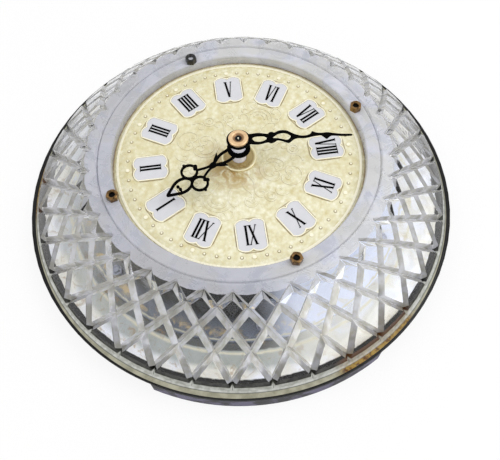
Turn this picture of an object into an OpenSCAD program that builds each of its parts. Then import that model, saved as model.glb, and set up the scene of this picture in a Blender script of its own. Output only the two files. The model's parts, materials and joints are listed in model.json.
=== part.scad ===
// Quartz clock with a clear lattice-cut skirt, lying on its back.
// Millimetres. Z runs through the dial and up, 12 o'clock is at +Y.
// Z = 0 is the underside of the wall feet.

/* [Clear body] */
// Height of the clear body from rim underside to collar top
body_h = 43; // [40:0.5:50]
// Width of the frosted band between the top ring and the skirt
band_w = 6.4; // [5:0.1:9]
// Width of the cut skirt along the radius
skirt_w = 35; // [30:0.5:42]
// Width of the flat flange round the foot of the skirt
flange_w = 4; // [3:0.5:7]
// Thickness of that flange
flange_t = 3; // [2:0.5:6]
// Width of the steep bevel above the flange
bevel_w = 2; // [1:0.25:4]
// Height of the steep bevel above the flange
bevel_h = 7; // [4:0.5:9]
// Outward bow of the skirt between collar and bevel
skirt_bow = 0.8; // [0:0.1:3]
// Number of slanting grooves each way round the skirt
groove_count = 36; // [24:2:48]
// Depth of the grooves
groove_depth = 3.4; // [2:0.1:4.5]
// Half width of a groove at the surface
groove_half = 2; // [0.8:0.1:2.3]
// Clear material left under the deepest groove
groove_skin = 3.2; // [2:0.1:5]
// Growth of the diamonds from each row to the next
row_growth = 1.27; // [1.05:0.01:1.5]
// Length of the groove ends on the top band
groove_runout = 3; // [1.5:0.1:4]
// Turn of the lattice against 3 o'clock
lattice_turn = 0.6; // [-5:0.1:5]
// Rise in the middle of each diamond
diamond_rise = 0.25; // [0:0.05:0.6]

/* [Top ring and nuts] */
// Inner radius of the clear top ring
ring_in_r = 69.8; // [66:0.2:79]
// Width of the clear top ring
ring_w = 7.4; // [6.6:0.1:10]
// Thickness of the top ring
ring_t = 6; // [3:0.25:8]
// Edge chamfer of the top ring
ring_chamfer = 0.6; // [0.2:0.1:1.2]
// Radial gap between top ring and clear body
ring_gap = 0.4; // [0.2:0.05:1]
// Width of the bright chamfer on the clear body's bore
bore_chamfer = 0.9; // [0.3:0.1:1.5]
// Width of the ledge that carries the dial
ledge_w = 2.6; // [1.5:0.1:3.5]
// Thickness of that ledge
ledge_t = 3; // [2:0.25:4]
// Distance of the studs' centres outside the ring's inner edge
stud_inset = 2.2; // [1.9:0.05:2.8]
// Turn of the first stud from 3 o'clock
stud_turn = 46; // [40:1:50]
// Radius of a stud
stud_r = 1.5; // [1:0.1:1.8]
// Radial gap round a stud in its holes
stud_gap = 0.2; // [0.1:0.05:0.4]
// Radius of a stud's head
stud_head_r = 2.6; // [2.2:0.1:3]
// Height of a stud's head
stud_head_h = 2; // [1:0.25:3]
// Radius over the corners of a six-sided nut on the top ring
nut_r = 3.4; // [2.8:0.1:3.6]
// Height of a nut
nut_h = 3.4; // [2:0.1:5]
// How far a stud's end lies below its nut's top
stud_drop = 1.2; // [0.2:0.1:1.6]

/* [Dial] */
// Radial gap between dial plate and clear body
dial_gap = 1; // [0.4:0.1:1.4]
// Thickness of the dial plate
dial_t = 0.6; // [0.4:0.1:1.2]
// Distance of the plaque centres inside the bead circle
plaque_inset = 12.6; // [12:0.1:15]
// Width of a numeral plaque
plaque_w = 14.6; // [13:0.2:16]
// Length of a numeral plaque along the radius
plaque_len = 18; // [16:0.2:18.6]
// Radius of the round ends of a plaque's two lobes
lobe_end_r = 4.7; // [4.5:0.1:6]
// Overlap of the two lobes in the middle
lobe_lap = 0.8; // [0.4:0.1:1.4]
// Thickness of a plaque
plaque_t = 0.4; // [0.2:0.1:0.8]
// Width of the raised outline round a plaque
outline_w = 0.6; // [0.3:0.1:0.9]
// Height of the raised outline
outline_h = 0.6; // [0.3:0.1:1]
// Gap between plaque and outline
outline_gap = 0.1; // [0.05:0.05:0.2]
// Height of a numeral
numeral_h = 11.6; // [8:0.2:12.4]
// Width of a numeral's thick strokes
stroke_thick = 1.15; // [0.8:0.05:1.5]
// Width of a numeral's thin strokes
stroke_thin = 0.4; // [0.3:0.05:0.7]
// Length of the small bars at a stroke's ends
serif = 0.3; // [0.1:0.05:0.3]
// Thickness of those bars
serif_t = 0.35; // [0.2:0.05:0.5]
// Space between a numeral's strokes
stroke_gap = 0.8; // [0.7:0.05:0.9]
// Thickness of the numerals
numeral_t = 0.2; // [0.1:0.05:0.4]
// Distance of the bead circle inside the ring's inner edge
bead_inset = 8; // [7:0.1:9]
// Radius of a minute bead
bead_r = 0.55; // [0.3:0.05:0.9]
// Radius of an hour bead
hour_bead_r = 1.1; // [0.8:0.05:1.5]
// Height of the beads
bead_h = 0.4; // [0.2:0.05:0.8]
// Gap between the dial's raised border and the ring's inner edge
border_inset = 1.8; // [1:0.1:3]
// Width of the raised border
border_w = 1.4; // [0.8:0.1:2]
// Height of the raised border
border_h = 0.4; // [0.2:0.1:0.8]

/* [Hub] */
// Outer radius of the white threaded bush
bush_r = 4; // [3.6:0.1:4.5]
// Bore radius of the bush
bush_bore_r = 2.8; // [2.7:0.05:3]
// Height of the bush above the dial
bush_rise = 7.8; // [6:0.1:9]
// Radius of the flange that holds the bush behind the front plate
bush_flange_r = 5.6; // [5:0.1:7]
// Thickness of that flange
bush_flange_t = 0.9; // [0.6:0.1:1.1]
// Radial gap round the bush in dial, plate and nut
bush_gap = 0.15; // [0.05:0.05:0.4]
// Radius of the round fixing nut on the dial
fixing_r = 9.8; // [8:0.1:12]
// Height of the fixing nut
fixing_h = 1.4; // [1:0.1:3]
// Depth of the dish in the fixing nut
fixing_dish = 0.7; // [0.3:0.1:0.9]
// Outer radius of the rubber washer behind the dial
washer_r = 9; // [7:0.1:12]
// Thickness of the rubber washer
washer_t = 1.4; // [1:0.1:2.5]
// Outer radius of the hour pipe
hour_pipe_r = 2.5; // [2.4:0.05:2.6]
// Bore radius of the hour pipe
hour_bore_r = 1.8; // [1.75:0.05:2]
// Outer radius of the minute arbor
minute_arbor_r = 1.5; // [1.3:0.05:1.6]
// Bore radius of the minute arbor
minute_bore_r = 0.7; // [0.6:0.05:0.9]
// Radius of the thin arbors and pivots
pivot_r = 0.4; // [0.3:0.05:0.45]
// Radial gap round a pivot in its hole
pivot_gap = 0.1; // [0.05:0.05:0.2]
// Gap between bush end and hour hand
hour_lift = 0.8; // [0.5:0.1:2]
// Length of the hour hand from the centre to its tip
hour_len = 48.1; // [42:0.1:54]
// Thickness of the hour hand
hour_hand_t = 0.8; // [0.4:0.1:1.2]
// Length of the minute hand from the centre to its tip
minute_len = 60.5; // [54:0.1:66]
// Thickness of the minute hand
minute_hand_t = 0.8; // [0.4:0.1:1.2]
// Radius of the round eye of both hands
hand_eye_r = 6.4; // [5.6:0.1:7]
// Radial gap of a hand on its pipe
hand_gap = 0.05; // [0.02:0.01:0.1]
// Rest angle of the hour hand from 3 o'clock
hour_rest = 61.5; // [-180:0.5:180]
// Rest angle of the minute hand from 3 o'clock
minute_rest = -155.15; // [-180:0.05:180]
// Radius of the white collet under the minute hand
collet_r = 3.95; // [3:0.05:4.5]
// Height of the collet
collet_h = 6.3; // [5:0.1:8]
// Gap between hour hand and collet
collet_gap = 0.4; // [0.3:0.1:1]
// Radius of the brass nut on the minute hand
hand_nut_r = 5.3; // [4:0.1:6]
// Height of that nut
hand_nut_h = 1.7; // [1.2:0.1:3]
// Radius of the dish in the hand nut
hand_dish_r = 3.45; // [2.5:0.05:4]
// Height of the minute arbor's end above the minute hand
arbor_rise = 0.7; // [0.4:0.1:1]
// Depth of the seconds arbor's tip below the nut's top
tip_drop = 0.5; // [0.2:0.1:1]

/* [Movement case] */
// Room for the contact at each end of the battery
contact_room = 1.8; // [1.4:0.1:2.6]
// Outer thickness of the movement case
case_t = 16.6; // [16.4:0.1:18]
// Wall thickness of the case
case_wall = 1.2; // [0.8:0.1:1.3]
// Depth of the rear cover of the wheel space
cover_t = 4.6; // [3:0.1:6]
// Radius of the battery
battery_r = 7; // [6.8:0.05:7.1]
// Length of the battery's can
battery_can = 48.8; // [48:0.1:49.2]
// Radius of the battery's plus nub
nub_r = 2.7; // [2:0.1:3]
// Length of the nub
nub_len = 1.2; // [0.8:0.1:1.4]
// Gap round the battery in its bay
battery_gap = 0.2; // [0.1:0.05:0.3]
// Thickness of the middle plate
middle_t = 0.8; // [0.6:0.1:1]
// Edge of the middle plate beyond the outer arbors
middle_edge = 5; // [4.4:0.1:6]
// Width of the circuit board
board_w = 21; // [18:0.5:21.5]
// Gap between circuit board and case walls
board_gap = 1.2; // [0.5:0.1:2.5]
// Thickness of the circuit board
board_t = 0.8; // [0.6:0.1:1.2]
// Radius of the setting knob
knob_r = 4.2; // [3:0.1:6]
// Height of the setting knob
knob_h = 3.7; // [2:0.1:6]
// Radius of the setting knob's shaft
knob_shaft_r = 0.9; // [0.6:0.1:1.2]

/* [Back] */
// Thickness of the black back plate
plate_t = 1; // [0.8:0.1:2]
// How far the back plate reaches inside the drum
plate_lip = 4; // [2:0.5:8]
// Thickness of the silver reflector
reflector_t = 0.5; // [0.3:0.1:1]
// Radial gap between reflector and clear body
reflector_gap = 1.5; // [0.5:0.1:8]
// Distance of the drum's wall inside the stud circle
drum_set = 10; // [5:0.25:12]
// Wall thickness of the drum
drum_wall = 2; // [1.5:0.1:4]
// Thickness of the seat ring under the dial
drum_top_t = 3; // [2:0.1:5]
// Width of the base ring outside the drum's wall
drum_base_w = 32; // [28:0.5:36]
// Thickness of the base ring
drum_base_t = 2; // [1.5:0.1:4]
// Distance of the drum screws inside the base ring's edge
screw_inset = 8; // [5:0.5:12]
// Number of drum screws
screw_count = 6; // [3:1:8]
// Radius of a drum screw
screw_r = 1.5; // [1:0.1:2]
// Radius of a drum screw's head
screw_head_r = 2.8; // [2.4:0.1:3.5]
// Height of a drum screw's head
screw_head_h = 1.8; // [1:0.1:3]
// Length of a drum screw under its head
screw_len = 6.5; // [5:0.5:7]
// Width across flats of the hexagon nuts on those screws
base_nut_w = 5.5; // [5:0.1:7]
// Height of those nuts
base_nut_h = 2.4; // [1.8:0.1:3.5]
// Radial gap round a screw in its hole
screw_gap = 0.1; // [0.05:0.05:0.3]
// Height of the foot arcs under the back plate
foot_h = 12; // [11:0.5:16]
// Width of a foot arc along the radius
foot_w = 7; // [4:0.5:10]
// Angle that one foot arc covers
foot_span = 59; // [30:1:80]
// Angle of the middle of the first foot arc from 3 o'clock
foot_turn = 120; // [110:1:125]

/* [Hanger] */
// Distance of the keyhole inside the clock's rim
key_inset = 27; // [25:0.5:32]
// Radius of the keyhole's round end
key_r = 4.5; // [3.5:0.1:5.5]
// Width of the keyhole's slot
key_slot_w = 4; // [3:0.1:5]
// Length of the slot above the round end's centre
key_slot_len = 9; // [6:0.5:10]
// Width of the hanger's raised part
hanger_w = 24; // [20:0.5:28]
// Length of the hanger up the clock
hanger_len = 24; // [20:0.5:26]
// Thickness of the hanger's steel
hanger_t = 1; // [0.8:0.1:1.5]
// Free height between hanger and back plate
hanger_rise = 5; // [4.5:0.1:6.5]
// Distance of the hanger's end beyond the keyhole's centre
hanger_over = 14; // [12:0.5:15]
// Width of each side lug
lug_w = 7; // [6:0.5:10]
// Radius of a rivet
rivet_r = 1.5; // [1:0.1:2]
// Radius of a rivet's head
rivet_head_r = 2.6; // [2:0.1:3]
// Height of a rivet's head
rivet_head_h = 1; // [0.5:0.1:2]

/* [Wheels] */
// Module of the wheels between cannon pinion and hour wheel
motion_mod = 0.45; // [0.43:0.005:0.46]
// Module of the third wheel and the seconds pinion
third_mod = 0.36; // [0.34:0.005:0.37]
// Module of the seconds wheel and the intermediate pinion
seconds_mod = 0.4; // [0.38:0.005:0.41]
// Module of the intermediate wheel and the rotor pinion
rotor_mod = 0.3; // [0.28:0.005:0.31]
// Thickness of a wheel
wheel_t = 0.5; // [0.4:0.05:0.6]
// Radius of the rotor's magnet
magnet_r = 2.3; // [1.8:0.1:2.5]
// Gap between magnet and stator
magnet_gap = 0.45; // [0.3:0.05:0.8]
// Radius of the coil winding
coil_r = 3.2; // [2.5:0.1:3.3]
// Length of the coil winding
coil_len = 13.2; // [10:0.2:13.6]

/* [Hidden] */
$fn = 96;

eps = 0.01;
// Radii from the dial opening out to the rim
ring_out_r = ring_in_r + ring_w;
bore_r = ring_out_r + ring_gap;
ledge_r = bore_r - ledge_w;
collar_r = bore_r + band_w;
rim_r = collar_r + skirt_w + bevel_w + flange_w;
stud_pcd_r = ring_in_r + stud_inset;
dial_r = bore_r - dial_gap;
bead_pcd_r = ring_in_r - bead_inset;
plaque_pcd_r = bead_pcd_r - plaque_inset;
border_in_r = ring_in_r - border_inset - border_w;
drum_out_r = stud_pcd_r - drum_set;
drum_in_r = drum_out_r - drum_wall;
drum_base_r = drum_out_r + drum_base_w;
screw_pcd_r = drum_base_r - screw_inset;
plate_open_r = drum_in_r - plate_lip;
key_y = rim_r - key_inset;
// Heights from the wall feet up to the hub
rim_z = foot_h + plate_t;
top_z = rim_z + body_h;
dial_z = top_z - ring_t;
ledge_z = dial_z - dial_t;
flange_z = rim_z + flange_t;
case_top = ledge_z - washer_t;
case_in = case_top - case_wall;
case_rear = case_top - case_t;
cover_in = case_rear + case_wall;
cover_z = case_rear + cover_t;
bush_z = dial_z + bush_rise;
hour_z = bush_z + hour_lift;
collet_z = hour_z + hour_hand_t + collet_gap;
minute_z = collet_z + collet_h;
hand_nut_z = minute_z + minute_hand_t;
arbor_top = hand_nut_z + arbor_rise;
tip_z = hand_nut_z + hand_nut_h - tip_drop;

// Wheel train: tooth counts
cannon_n = 10; motion_n = 30; motion_pin_n = 8; hour_n = 32;
sec_pin_n = 8; third_n = 60; third_pin_n = 8; centre_n = 64;
inter_pin_n = 8; sec_n = 40; rotor_pin_n = 8; inter_n = 48;
// Centre distances
motion_cd = motion_mod * (cannon_n + motion_n) / 2;
third_cd = third_mod * (sec_pin_n + third_n) / 2;
centre_mod = 2 * third_cd / (third_pin_n + centre_n);
inter_cd = seconds_mod * (inter_pin_n + sec_n) / 2;
rotor_cd = rotor_mod * (rotor_pin_n + inter_n) / 2;
// Directions from each axis to the next
motion_dir = 85; knob_dir = 95; third_dir = 35; inter_dir = 150; rotor_dir = 120;
motion_at = motion_cd * [cos(motion_dir), sin(motion_dir)];
knob_at = motion_at + motion_cd * [cos(knob_dir), sin(knob_dir)];
third_at = third_cd * [cos(third_dir), sin(third_dir)];
inter_at = inter_cd * [cos(inter_dir), sin(inter_dir)];
rotor_at = inter_at + rotor_cd * [cos(rotor_dir), sin(rotor_dir)];
// Turn that puts a second gear's gap on the first gear's tooth
function mesh_turn(dir, turn1, n1, n2) =
  dir + 180 + 180 / n2 + (dir - turn1) * n1 / n2;
motion_turn = mesh_turn(motion_dir, 0, cannon_n, motion_n);
hour_turn = mesh_turn(motion_dir + 180, motion_turn, motion_pin_n, hour_n);
knob_turn = mesh_turn(knob_dir, motion_turn, motion_n, cannon_n);
third_turn = mesh_turn(third_dir, 0, sec_pin_n, third_n);
centre_turn = mesh_turn(third_dir + 180, third_turn, third_pin_n, centre_n);
inter_turn = mesh_turn(inter_dir, 0, sec_n, inter_pin_n);
rotor_turn = mesh_turn(rotor_dir, inter_turn, inter_n, rotor_pin_n);
// Levels of the train, counted down from the front plate's inner face
hour_lvl = case_in - 2.2;
minute_lvl = case_in - 3.3;
cannon_lvl = case_in - 3.4;
centre_lvl = case_in - 4.3;
third_lvl = case_in - 6.2;
middle_z = case_in - 7.6;
// Levels counted up from the rear cover's inner face
magnet_z = cover_in + 1.6;
stator_z = cover_in + 2.1;
inter_lvl = cover_in + 4.3;
sec_lvl = cover_in + 5.3;
pivot_z = cover_in + 0.6;
boss_h = 1.4;

// Clear body

step = 360 / groove_count;
sect = 2 * groove_count;
crest_end = [rim_r - flange_w - bevel_w, flange_z + bevel_h];
crest_run = [crest_end[0] - collar_r, crest_end[1] - top_z];
crest_len = norm(crest_run);
crest_out = [-crest_run[1], crest_run[0]] / crest_len;
function crest(s) = [collar_r, top_z] + crest_run * s
  + crest_out * skirt_bow * 4 * s * (1 - s);
function row_s(k) = (pow(row_growth, k) - 1) / (pow(row_growth, 4) - 1);
function deep(s) = crest(s) - crest_out * groove_depth;
function inner(s) = crest(s) - crest_out * (groove_depth + groove_skin);
function at(p, a) = [p[0] * cos(a), p[0] * sin(a), p[1]];
function deep_a(k, j) = lattice_turn + (j + (k % 2) / 2) * step;
function cell_a(k, j) = lattice_turn + (j + (1 - k % 2) / 2) * step;
function run_len(k) = (row_s(k + 1) - row_s(k)) * crest_len;
function half_arc(k) = crest(row_s(k))[0] * step / 2 * PI / 180;
// Setback of a diamond's corner from the crossing above, below or beside it
function back_s(k, h) = groove_half * norm([h, half_arc(k)]) / half_arc(k) / crest_len;
function back_a(k, h) = groove_half * norm([h, half_arc(k)]) / h
  / (crest(row_s(k))[0] * PI / 180);
function cell_pts(k, j) = let(a = cell_a(k, j), h1 = run_len(k - 1), h2 = run_len(k),
    da = back_a(k, (h1 + h2) / 2), s = row_s(k))
  [at(crest(row_s(k - 1) + back_s(k, h1)), a),
   at(crest(s), a - step / 2 + da),
   at(crest(row_s(k + 1) - back_s(k, h2)), a),
   at(crest(s), a + step / 2 - da),
   at(crest(s) + crest_out * diamond_rise, a)];
function top_pts(j) = let(a = cell_a(0, j), da = back_a(0, run_len(0)))
  [at(crest(0), a - step / 2 + da), at(crest(0) + [0.4, 0], a),
   at(crest(0), a + step / 2 - da), at(crest(row_s(1) - back_s(1, run_len(0))), a),
   at([collar_r - groove_runout, top_z], a - step / 2)];
function foot_pts(j) = let(a = cell_a(4, j), da = back_a(4, run_len(3)))
  [at(crest(row_s(3) + back_s(3, run_len(3))), a),
   at(crest(1), a - step / 2 + da), at(crest(1), a), at(crest(1), a + step / 2 - da)];
under_s = (top_z - ledge_z + ledge_t - crest_out[1] * (groove_depth + groove_skin))
  / -crest_run[1];
reflector_r = inner(1)[0] - reflector_gap;
turned = [[rim_r - flange_w, flange_z], [rim_r, flange_z], [rim_r, rim_z],
  [inner(1)[0], rim_z], inner(1), inner(0.75), inner(0.5), inner(under_s + 0.1),
  [inner(under_s)[0], ledge_z - ledge_t], [ledge_r, ledge_z - ledge_t],
  [ledge_r, ledge_z], [bore_r, ledge_z], [bore_r, top_z - bore_chamfer],
  [bore_r + bore_chamfer, top_z]];
// Where each kind of point starts in the list
n = groove_count;
i_cell = 5 * n;
i_top = i_cell + 15 * n;
i_foot = i_top + 5 * n;
i_ring = i_foot + 4 * n;
body_pts = concat(
  [for (k = [0:4], j = [0:n - 1]) at(deep(row_s(k)), deep_a(k, j))],
  [for (k = [1:3], j = [0:n - 1], p = cell_pts(k, j)) p],
  [for (j = [0:n - 1], p = top_pts(j)) p],
  [for (j = [0:n - 1], p = foot_pts(j)) p],
  [for (r = [0:len(turned) - 1], i = [0:sect - 1])
    at(turned[r], lattice_turn + i * step / 2)]);
function dp(k, j) = k * n + (j + n) % n;
function cp(k, j, c) = i_cell + ((k - 1) * n + j) * 5 + c;
function tp(j, c) = i_top + ((j + n) % n) * 5 + c;
function fp(j, c) = i_foot + j * 4 + c;
function rp(r, i) = i_ring + r * sect + i % sect;
function quad(a, b, c, d) = [[a, b, c], [a, c, d]];
function left_j(k, j) = k % 2 == 0 ? j : j - 1;
last = len(turned) - 1;
cell_faces = [for (k = [1:3], j = [0:n - 1])
  let(l = dp(k, left_j(k, j)), r = dp(k, left_j(k, j) + 1), t = dp(k - 1, j),
    b = dp(k + 1, j), c = cp(k, j, 0))
  each concat(quad(l, c + 1, c, t), quad(t, c, c + 3, r), quad(r, c + 3, c + 2, b),
    quad(b, c + 2, c + 1, l), [[c + 1, c + 2, c + 4], [c + 2, c + 3, c + 4],
    [c + 3, c, c + 4], [c, c + 1, c + 4]])];
top_faces = [for (j = [0:n - 1])
  let(l = dp(0, j), r = dp(0, j + 1), b = dp(1, j), c = tp(j, 0), nl = tp(j, 4),
    nr = tp(j + 1, 4), i0 = rp(last, 2 * j), i1 = rp(last, 2 * j + 1),
    i2 = rp(last, 2 * j + 2))
  each concat(quad(b, c + 3, c, l), quad(r, c + 2, c + 3, b),
    [[c, c + 3, c + 1], [c + 3, c + 2, c + 1], [l, c, nl], [r, nr, c + 2],
     [i0, nl, c], [i0, c, i1], [c, c + 1, i1], [c + 1, c + 2, i1],
     [c + 2, i2, i1], [c + 2, nr, i2]])];
foot_faces = [for (j = [0:n - 1])
  let(l = dp(4, j), r = dp(4, j + 1), t = dp(3, j), c = fp(j, 0),
    f0 = rp(0, 2 * j), f1 = rp(0, 2 * j + 1), f2 = rp(0, 2 * j + 2))
  each concat(quad(l, c + 1, c, t), quad(t, c, c + 3, r),
    [[c + 1, c + 2, c], [c + 2, c + 3, c], [l, f0, c + 1], [c + 1, f0, f1],
     [c + 1, f1, c + 2], [c + 2, f1, c + 3], [c + 3, f1, f2], [c + 3, f2, r]])];
turned_faces = [for (r = [0:last - 1], i = [0:sect - 1])
  each quad(rp(r, i), rp(r + 1, i), rp(r + 1, i + 1), rp(r, i + 1))];

module crystal_body() {
  color([0.86, 0.88, 0.92, 0.5])
    polyhedron(points = body_pts, faces = [
      for (f = concat(cell_faces, top_faces, foot_faces, turned_faces))
        [f[2], f[1], f[0]]]);
}

// Top ring, nuts and studs

module at_studs(which = [0, 1, 2, 3]) {
  for (i = which) rotate(stud_turn + 90 * i) translate([stud_pcd_r, 0, 0])
    children();
}

module top_ring() {
  c = ring_chamfer;
  color([0.84, 0.86, 0.9]) difference() {
    translate([0, 0, dial_z]) rotate_extrude()
      polygon([[ring_in_r, 0], [ring_out_r, 0], [ring_out_r, ring_t - c],
        [ring_out_r - c, ring_t], [ring_in_r + c, ring_t], [ring_in_r, ring_t - c]]);
    at_studs() translate([0, 0, dial_z - 1])
      cylinder(h = ring_t + 2, r = stud_r + stud_gap, $fn = 32);
  }
}

module hex_nut() {
  bore = stud_r + 0.05;
  translate([0, 0, top_z]) intersection() {
    cylinder(h = nut_h, r = nut_r, $fn = 6);
    rotate_extrude($fn = 32)
      polygon([[bore, -0.5], [nut_r + 1, -0.5], [nut_r + 1, nut_h - 1.35],
        [nut_r - 0.5, nut_h], [nut_r - 1, nut_h + 0.5], [bore + 0.9, nut_h + 0.5],
        [bore + 0.4, nut_h], [bore, nut_h - 0.4]]);
  }
}

module ring_nuts() {
  color([0.8, 0.62, 0.3]) at_studs([0, 1, 2]) hex_nut();
}

module dark_nut() {
  color([0.1, 0.1, 0.1]) at_studs([3]) hex_nut();
}

module ring_studs() {
  z0 = ledge_z - drum_top_t - stud_head_h;
  color([0.75, 0.6, 0.3]) at_studs() {
    translate([0, 0, z0]) cylinder(h = stud_head_h, r = stud_head_r, $fn = 32);
    translate([0, 0, z0 + stud_head_h - eps])
      cylinder(h = top_z + nut_h - stud_drop - z0 - stud_head_h + eps,
        r = stud_r, $fn = 32);
  }
}

// Dial

module plaque2d(grow = 0) {
  lobe = (plaque_w + lobe_lap) / 2;
  for (x = [-1, 1]) translate([x * (plaque_w - lobe) / 2, 0]) {
    square([lobe + 2 * grow, plaque_len - 2 * lobe_end_r], center = true);
    for (y = [-1, 1]) intersection() {
      translate([0, y * (plaque_len / 2 - lobe_end_r)])
        circle(r = lobe_end_r + grow, $fn = 64);
      translate([0, y * plaque_len / 4]) square([lobe + 2 * grow, plaque_len / 2 + 2 * grow],
        center = true);
    }
  }
}

module at_hour(h) {
  rotate(-30 * h) translate([0, plaque_pcd_r, 0]) children();
}

module dial_plate() {
  color([0.86, 0.81, 0.62]) difference() {
    union() {
      translate([0, 0, ledge_z]) cylinder(h = dial_t, r = dial_r);
      translate([0, 0, dial_z - eps]) rotate_extrude()
        translate([border_in_r, 0]) square([border_w, border_h + eps]);
      for (m = [0:59]) rotate(-6 * m) translate([0, bead_pcd_r, dial_z - eps])
        cylinder(h = bead_h + eps, r = m % 5 == 0 ? hour_bead_r : bead_r, $fn = 24);
      for (h = [1:12]) translate([0, 0, dial_z - eps]) at_hour(h)
        linear_extrude(outline_h + eps) difference() {
          plaque2d(outline_gap + outline_w);
          plaque2d(outline_gap);
        }
    }
    translate([0, 0, ledge_z - 1]) cylinder(h = dial_t + 2, r = bush_r + bush_gap);
    at_studs() translate([0, 0, ledge_z - 1])
      cylinder(h = dial_t + 2, r = stud_r + stud_gap, $fn = 32);
  }
}

module numeral_plaques() {
  color([0.84, 0.85, 0.88]) for (h = [1:12]) translate([0, 0, dial_z]) at_hour(h)
    linear_extrude(plaque_t) plaque2d();
}

roman = ["I", "II", "III", "IIII", "V", "VI", "VII", "VIII", "IX", "X", "XI", "XII"];
v_w = 3.5 * stroke_thick;
function stroke_w(c) = c == "I" ? stroke_thick : v_w;
function width_to(s, i) = i <= 0 ? 0 : width_to(s, i - 1) + stroke_w(s[i - 1]) + stroke_gap;

module slanted(x0, x1, w) {
  polygon([[x0, 0], [x0 + w, 0], [x1 + w, numeral_h], [x1, numeral_h]]);
}

module leg_end(x, w, ends) {
  for (e = ends) translate([x - serif, e * (numeral_h - serif_t)])
    square([w + 2 * serif, serif_t]);
}

module stroke(c) {
  right = v_w - stroke_thick;
  thin_right = v_w - stroke_thin;
  if (c == "I") {
    square([stroke_thick, numeral_h]);
    leg_end(0, stroke_thick, [0, 1]);
  }
  if (c == "V") {
    mid = v_w / 2;
    slanted(mid - stroke_thick / 2, 0, stroke_thick);
    slanted(mid, thin_right, stroke_thin);
    leg_end(0, stroke_thick, [1]);
    leg_end(thin_right, stroke_thin, [1]);
  }
  if (c == "X") {
    slanted(right, 0, stroke_thick);
    slanted(0, thin_right, stroke_thin);
    leg_end(0, stroke_thick, [1]);
    leg_end(right, stroke_thick, [0]);
    leg_end(thin_right, stroke_thin, [1]);
    leg_end(0, stroke_thin, [0]);
  }
}

module numerals() {
  color([0.05, 0.05, 0.05]) for (h = [1:12]) translate([0, 0, dial_z + plaque_t])
    at_hour(h) linear_extrude(numeral_t) {
      s = roman[h - 1];
      translate([-(width_to(s, len(s)) - stroke_gap) / 2, -numeral_h / 2])
        for (i = [0:len(s) - 1]) translate([width_to(s, i), 0]) stroke(s[i]);
    }
}

// Hub and hands

module fixing_nut() {
  b = bush_r + bush_gap;
  color([0.85, 0.8, 0.6]) translate([0, 0, dial_z]) rotate_extrude()
    polygon([[b, 0], [fixing_r, 0], [fixing_r, fixing_h - 0.4],
      [fixing_r - 0.5, fixing_h], [fixing_r - 1.6, fixing_h],
      [fixing_r - 2.6, fixing_h - fixing_dish], [b, fixing_h - fixing_dish]]);
}

module rubber_washer() {
  color([0.12, 0.12, 0.12]) translate([0, 0, case_top]) difference() {
    cylinder(h = washer_t, r = washer_r);
    translate([0, 0, -1]) cylinder(h = washer_t + 2, r = bush_r + bush_gap);
  }
}

module threaded_bush() {
  color([0.9, 0.9, 0.95]) difference() {
    union() {
      translate([0, 0, case_in - bush_flange_t])
        cylinder(h = bush_flange_t, r = bush_flange_r);
      translate([0, 0, case_in - eps]) cylinder(h = bush_z - case_in + eps, r = bush_r);
    }
    translate([0, 0, case_in - bush_flange_t - 1])
      cylinder(h = bush_z - case_in + bush_flange_t + 2, r = bush_bore_r);
  }
}

// Outline of a ribbon of one width along a list of points
function side(p, i, w) = let(a = p[max(i - 1, 0)], b = p[min(i + 1, len(p) - 1)],
  d = (b - a) / norm(b - a)) p[i] + [-d[1], d[0]] * w / 2;
function ribbon(p, w) = concat([for (i = [0:len(p) - 1]) side(p, i, w)],
  [for (i = [len(p) - 1:-1:0]) side(p, i, -w)]);
function turn_sum(p, i = 0) = i == len(p) ? 0 : let(a = p[i], b = p[(i + 1) % len(p)])
  a[0] * b[1] - a[1] * b[0] + turn_sum(p, i + 1);
// The same outline, always drawn anticlockwise
function ccw(p) = turn_sum(p) > 0 ? p : [for (i = [len(p) - 1:-1:0]) p[i]];
// Smooth curves through points
function curve(a, b, c, d, t) = (2 * b + (c - a) * t + (2 * a - 5 * b + 4 * c - d) * t * t
  + (3 * b - a - 3 * c + d) * t * t * t) / 2;
function smooth_line(p, k = 4) = concat([for (i = [0:len(p) - 2], j = [0:k - 1])
  curve(p[max(i - 1, 0)], p[i], p[i + 1], p[min(i + 2, len(p) - 1)], j / k)],
  [p[len(p) - 1]]);
function smooth_loop(p, k = 4) = let(m = len(p)) [for (i = [0:m - 1], j = [0:k - 1])
  curve(p[(i + m - 1) % m], p[i], p[(i + 1) % m], p[(i + 2) % m], j / k)];
module band(p, w) {
  polygon(ccw(ribbon(smooth_line(p), w)));
  for (e = [p[0], p[len(p) - 1]]) translate(e) circle(r = w / 2, $fn = 20);
}
module both_sides() {
  children();
  mirror([0, 1]) children();
}

// Lines of the hour hand, drawn 48.1 long; hubward end first
arm = [[4.6, 2.9], [7.2, 3], [9.6, 3], [12, 2.5], [14, 1.7], [16.6, 0.6]];
spur = [[16.8, 1.2], [14.9, 2.8], [13.1, 4.1], [11.2, 5.2], [11.7, 3.9], [12.4, 2.6],
  [14, 1.2]];
branch = [[16.4, 0.3], [19.4, 0.7], [22.2, 1.4], [25.6, 2.8]];
leaf = [[32.2, 0.3], [32.9, 1.7], [34.6, 3.2], [37.6, 3.9], [40.6, 3.4], [43.6, 2],
  [46.2, 0.7], [47.3, 0.1]];
eye_u = 29.9;
eye_v = 4.7;

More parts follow.
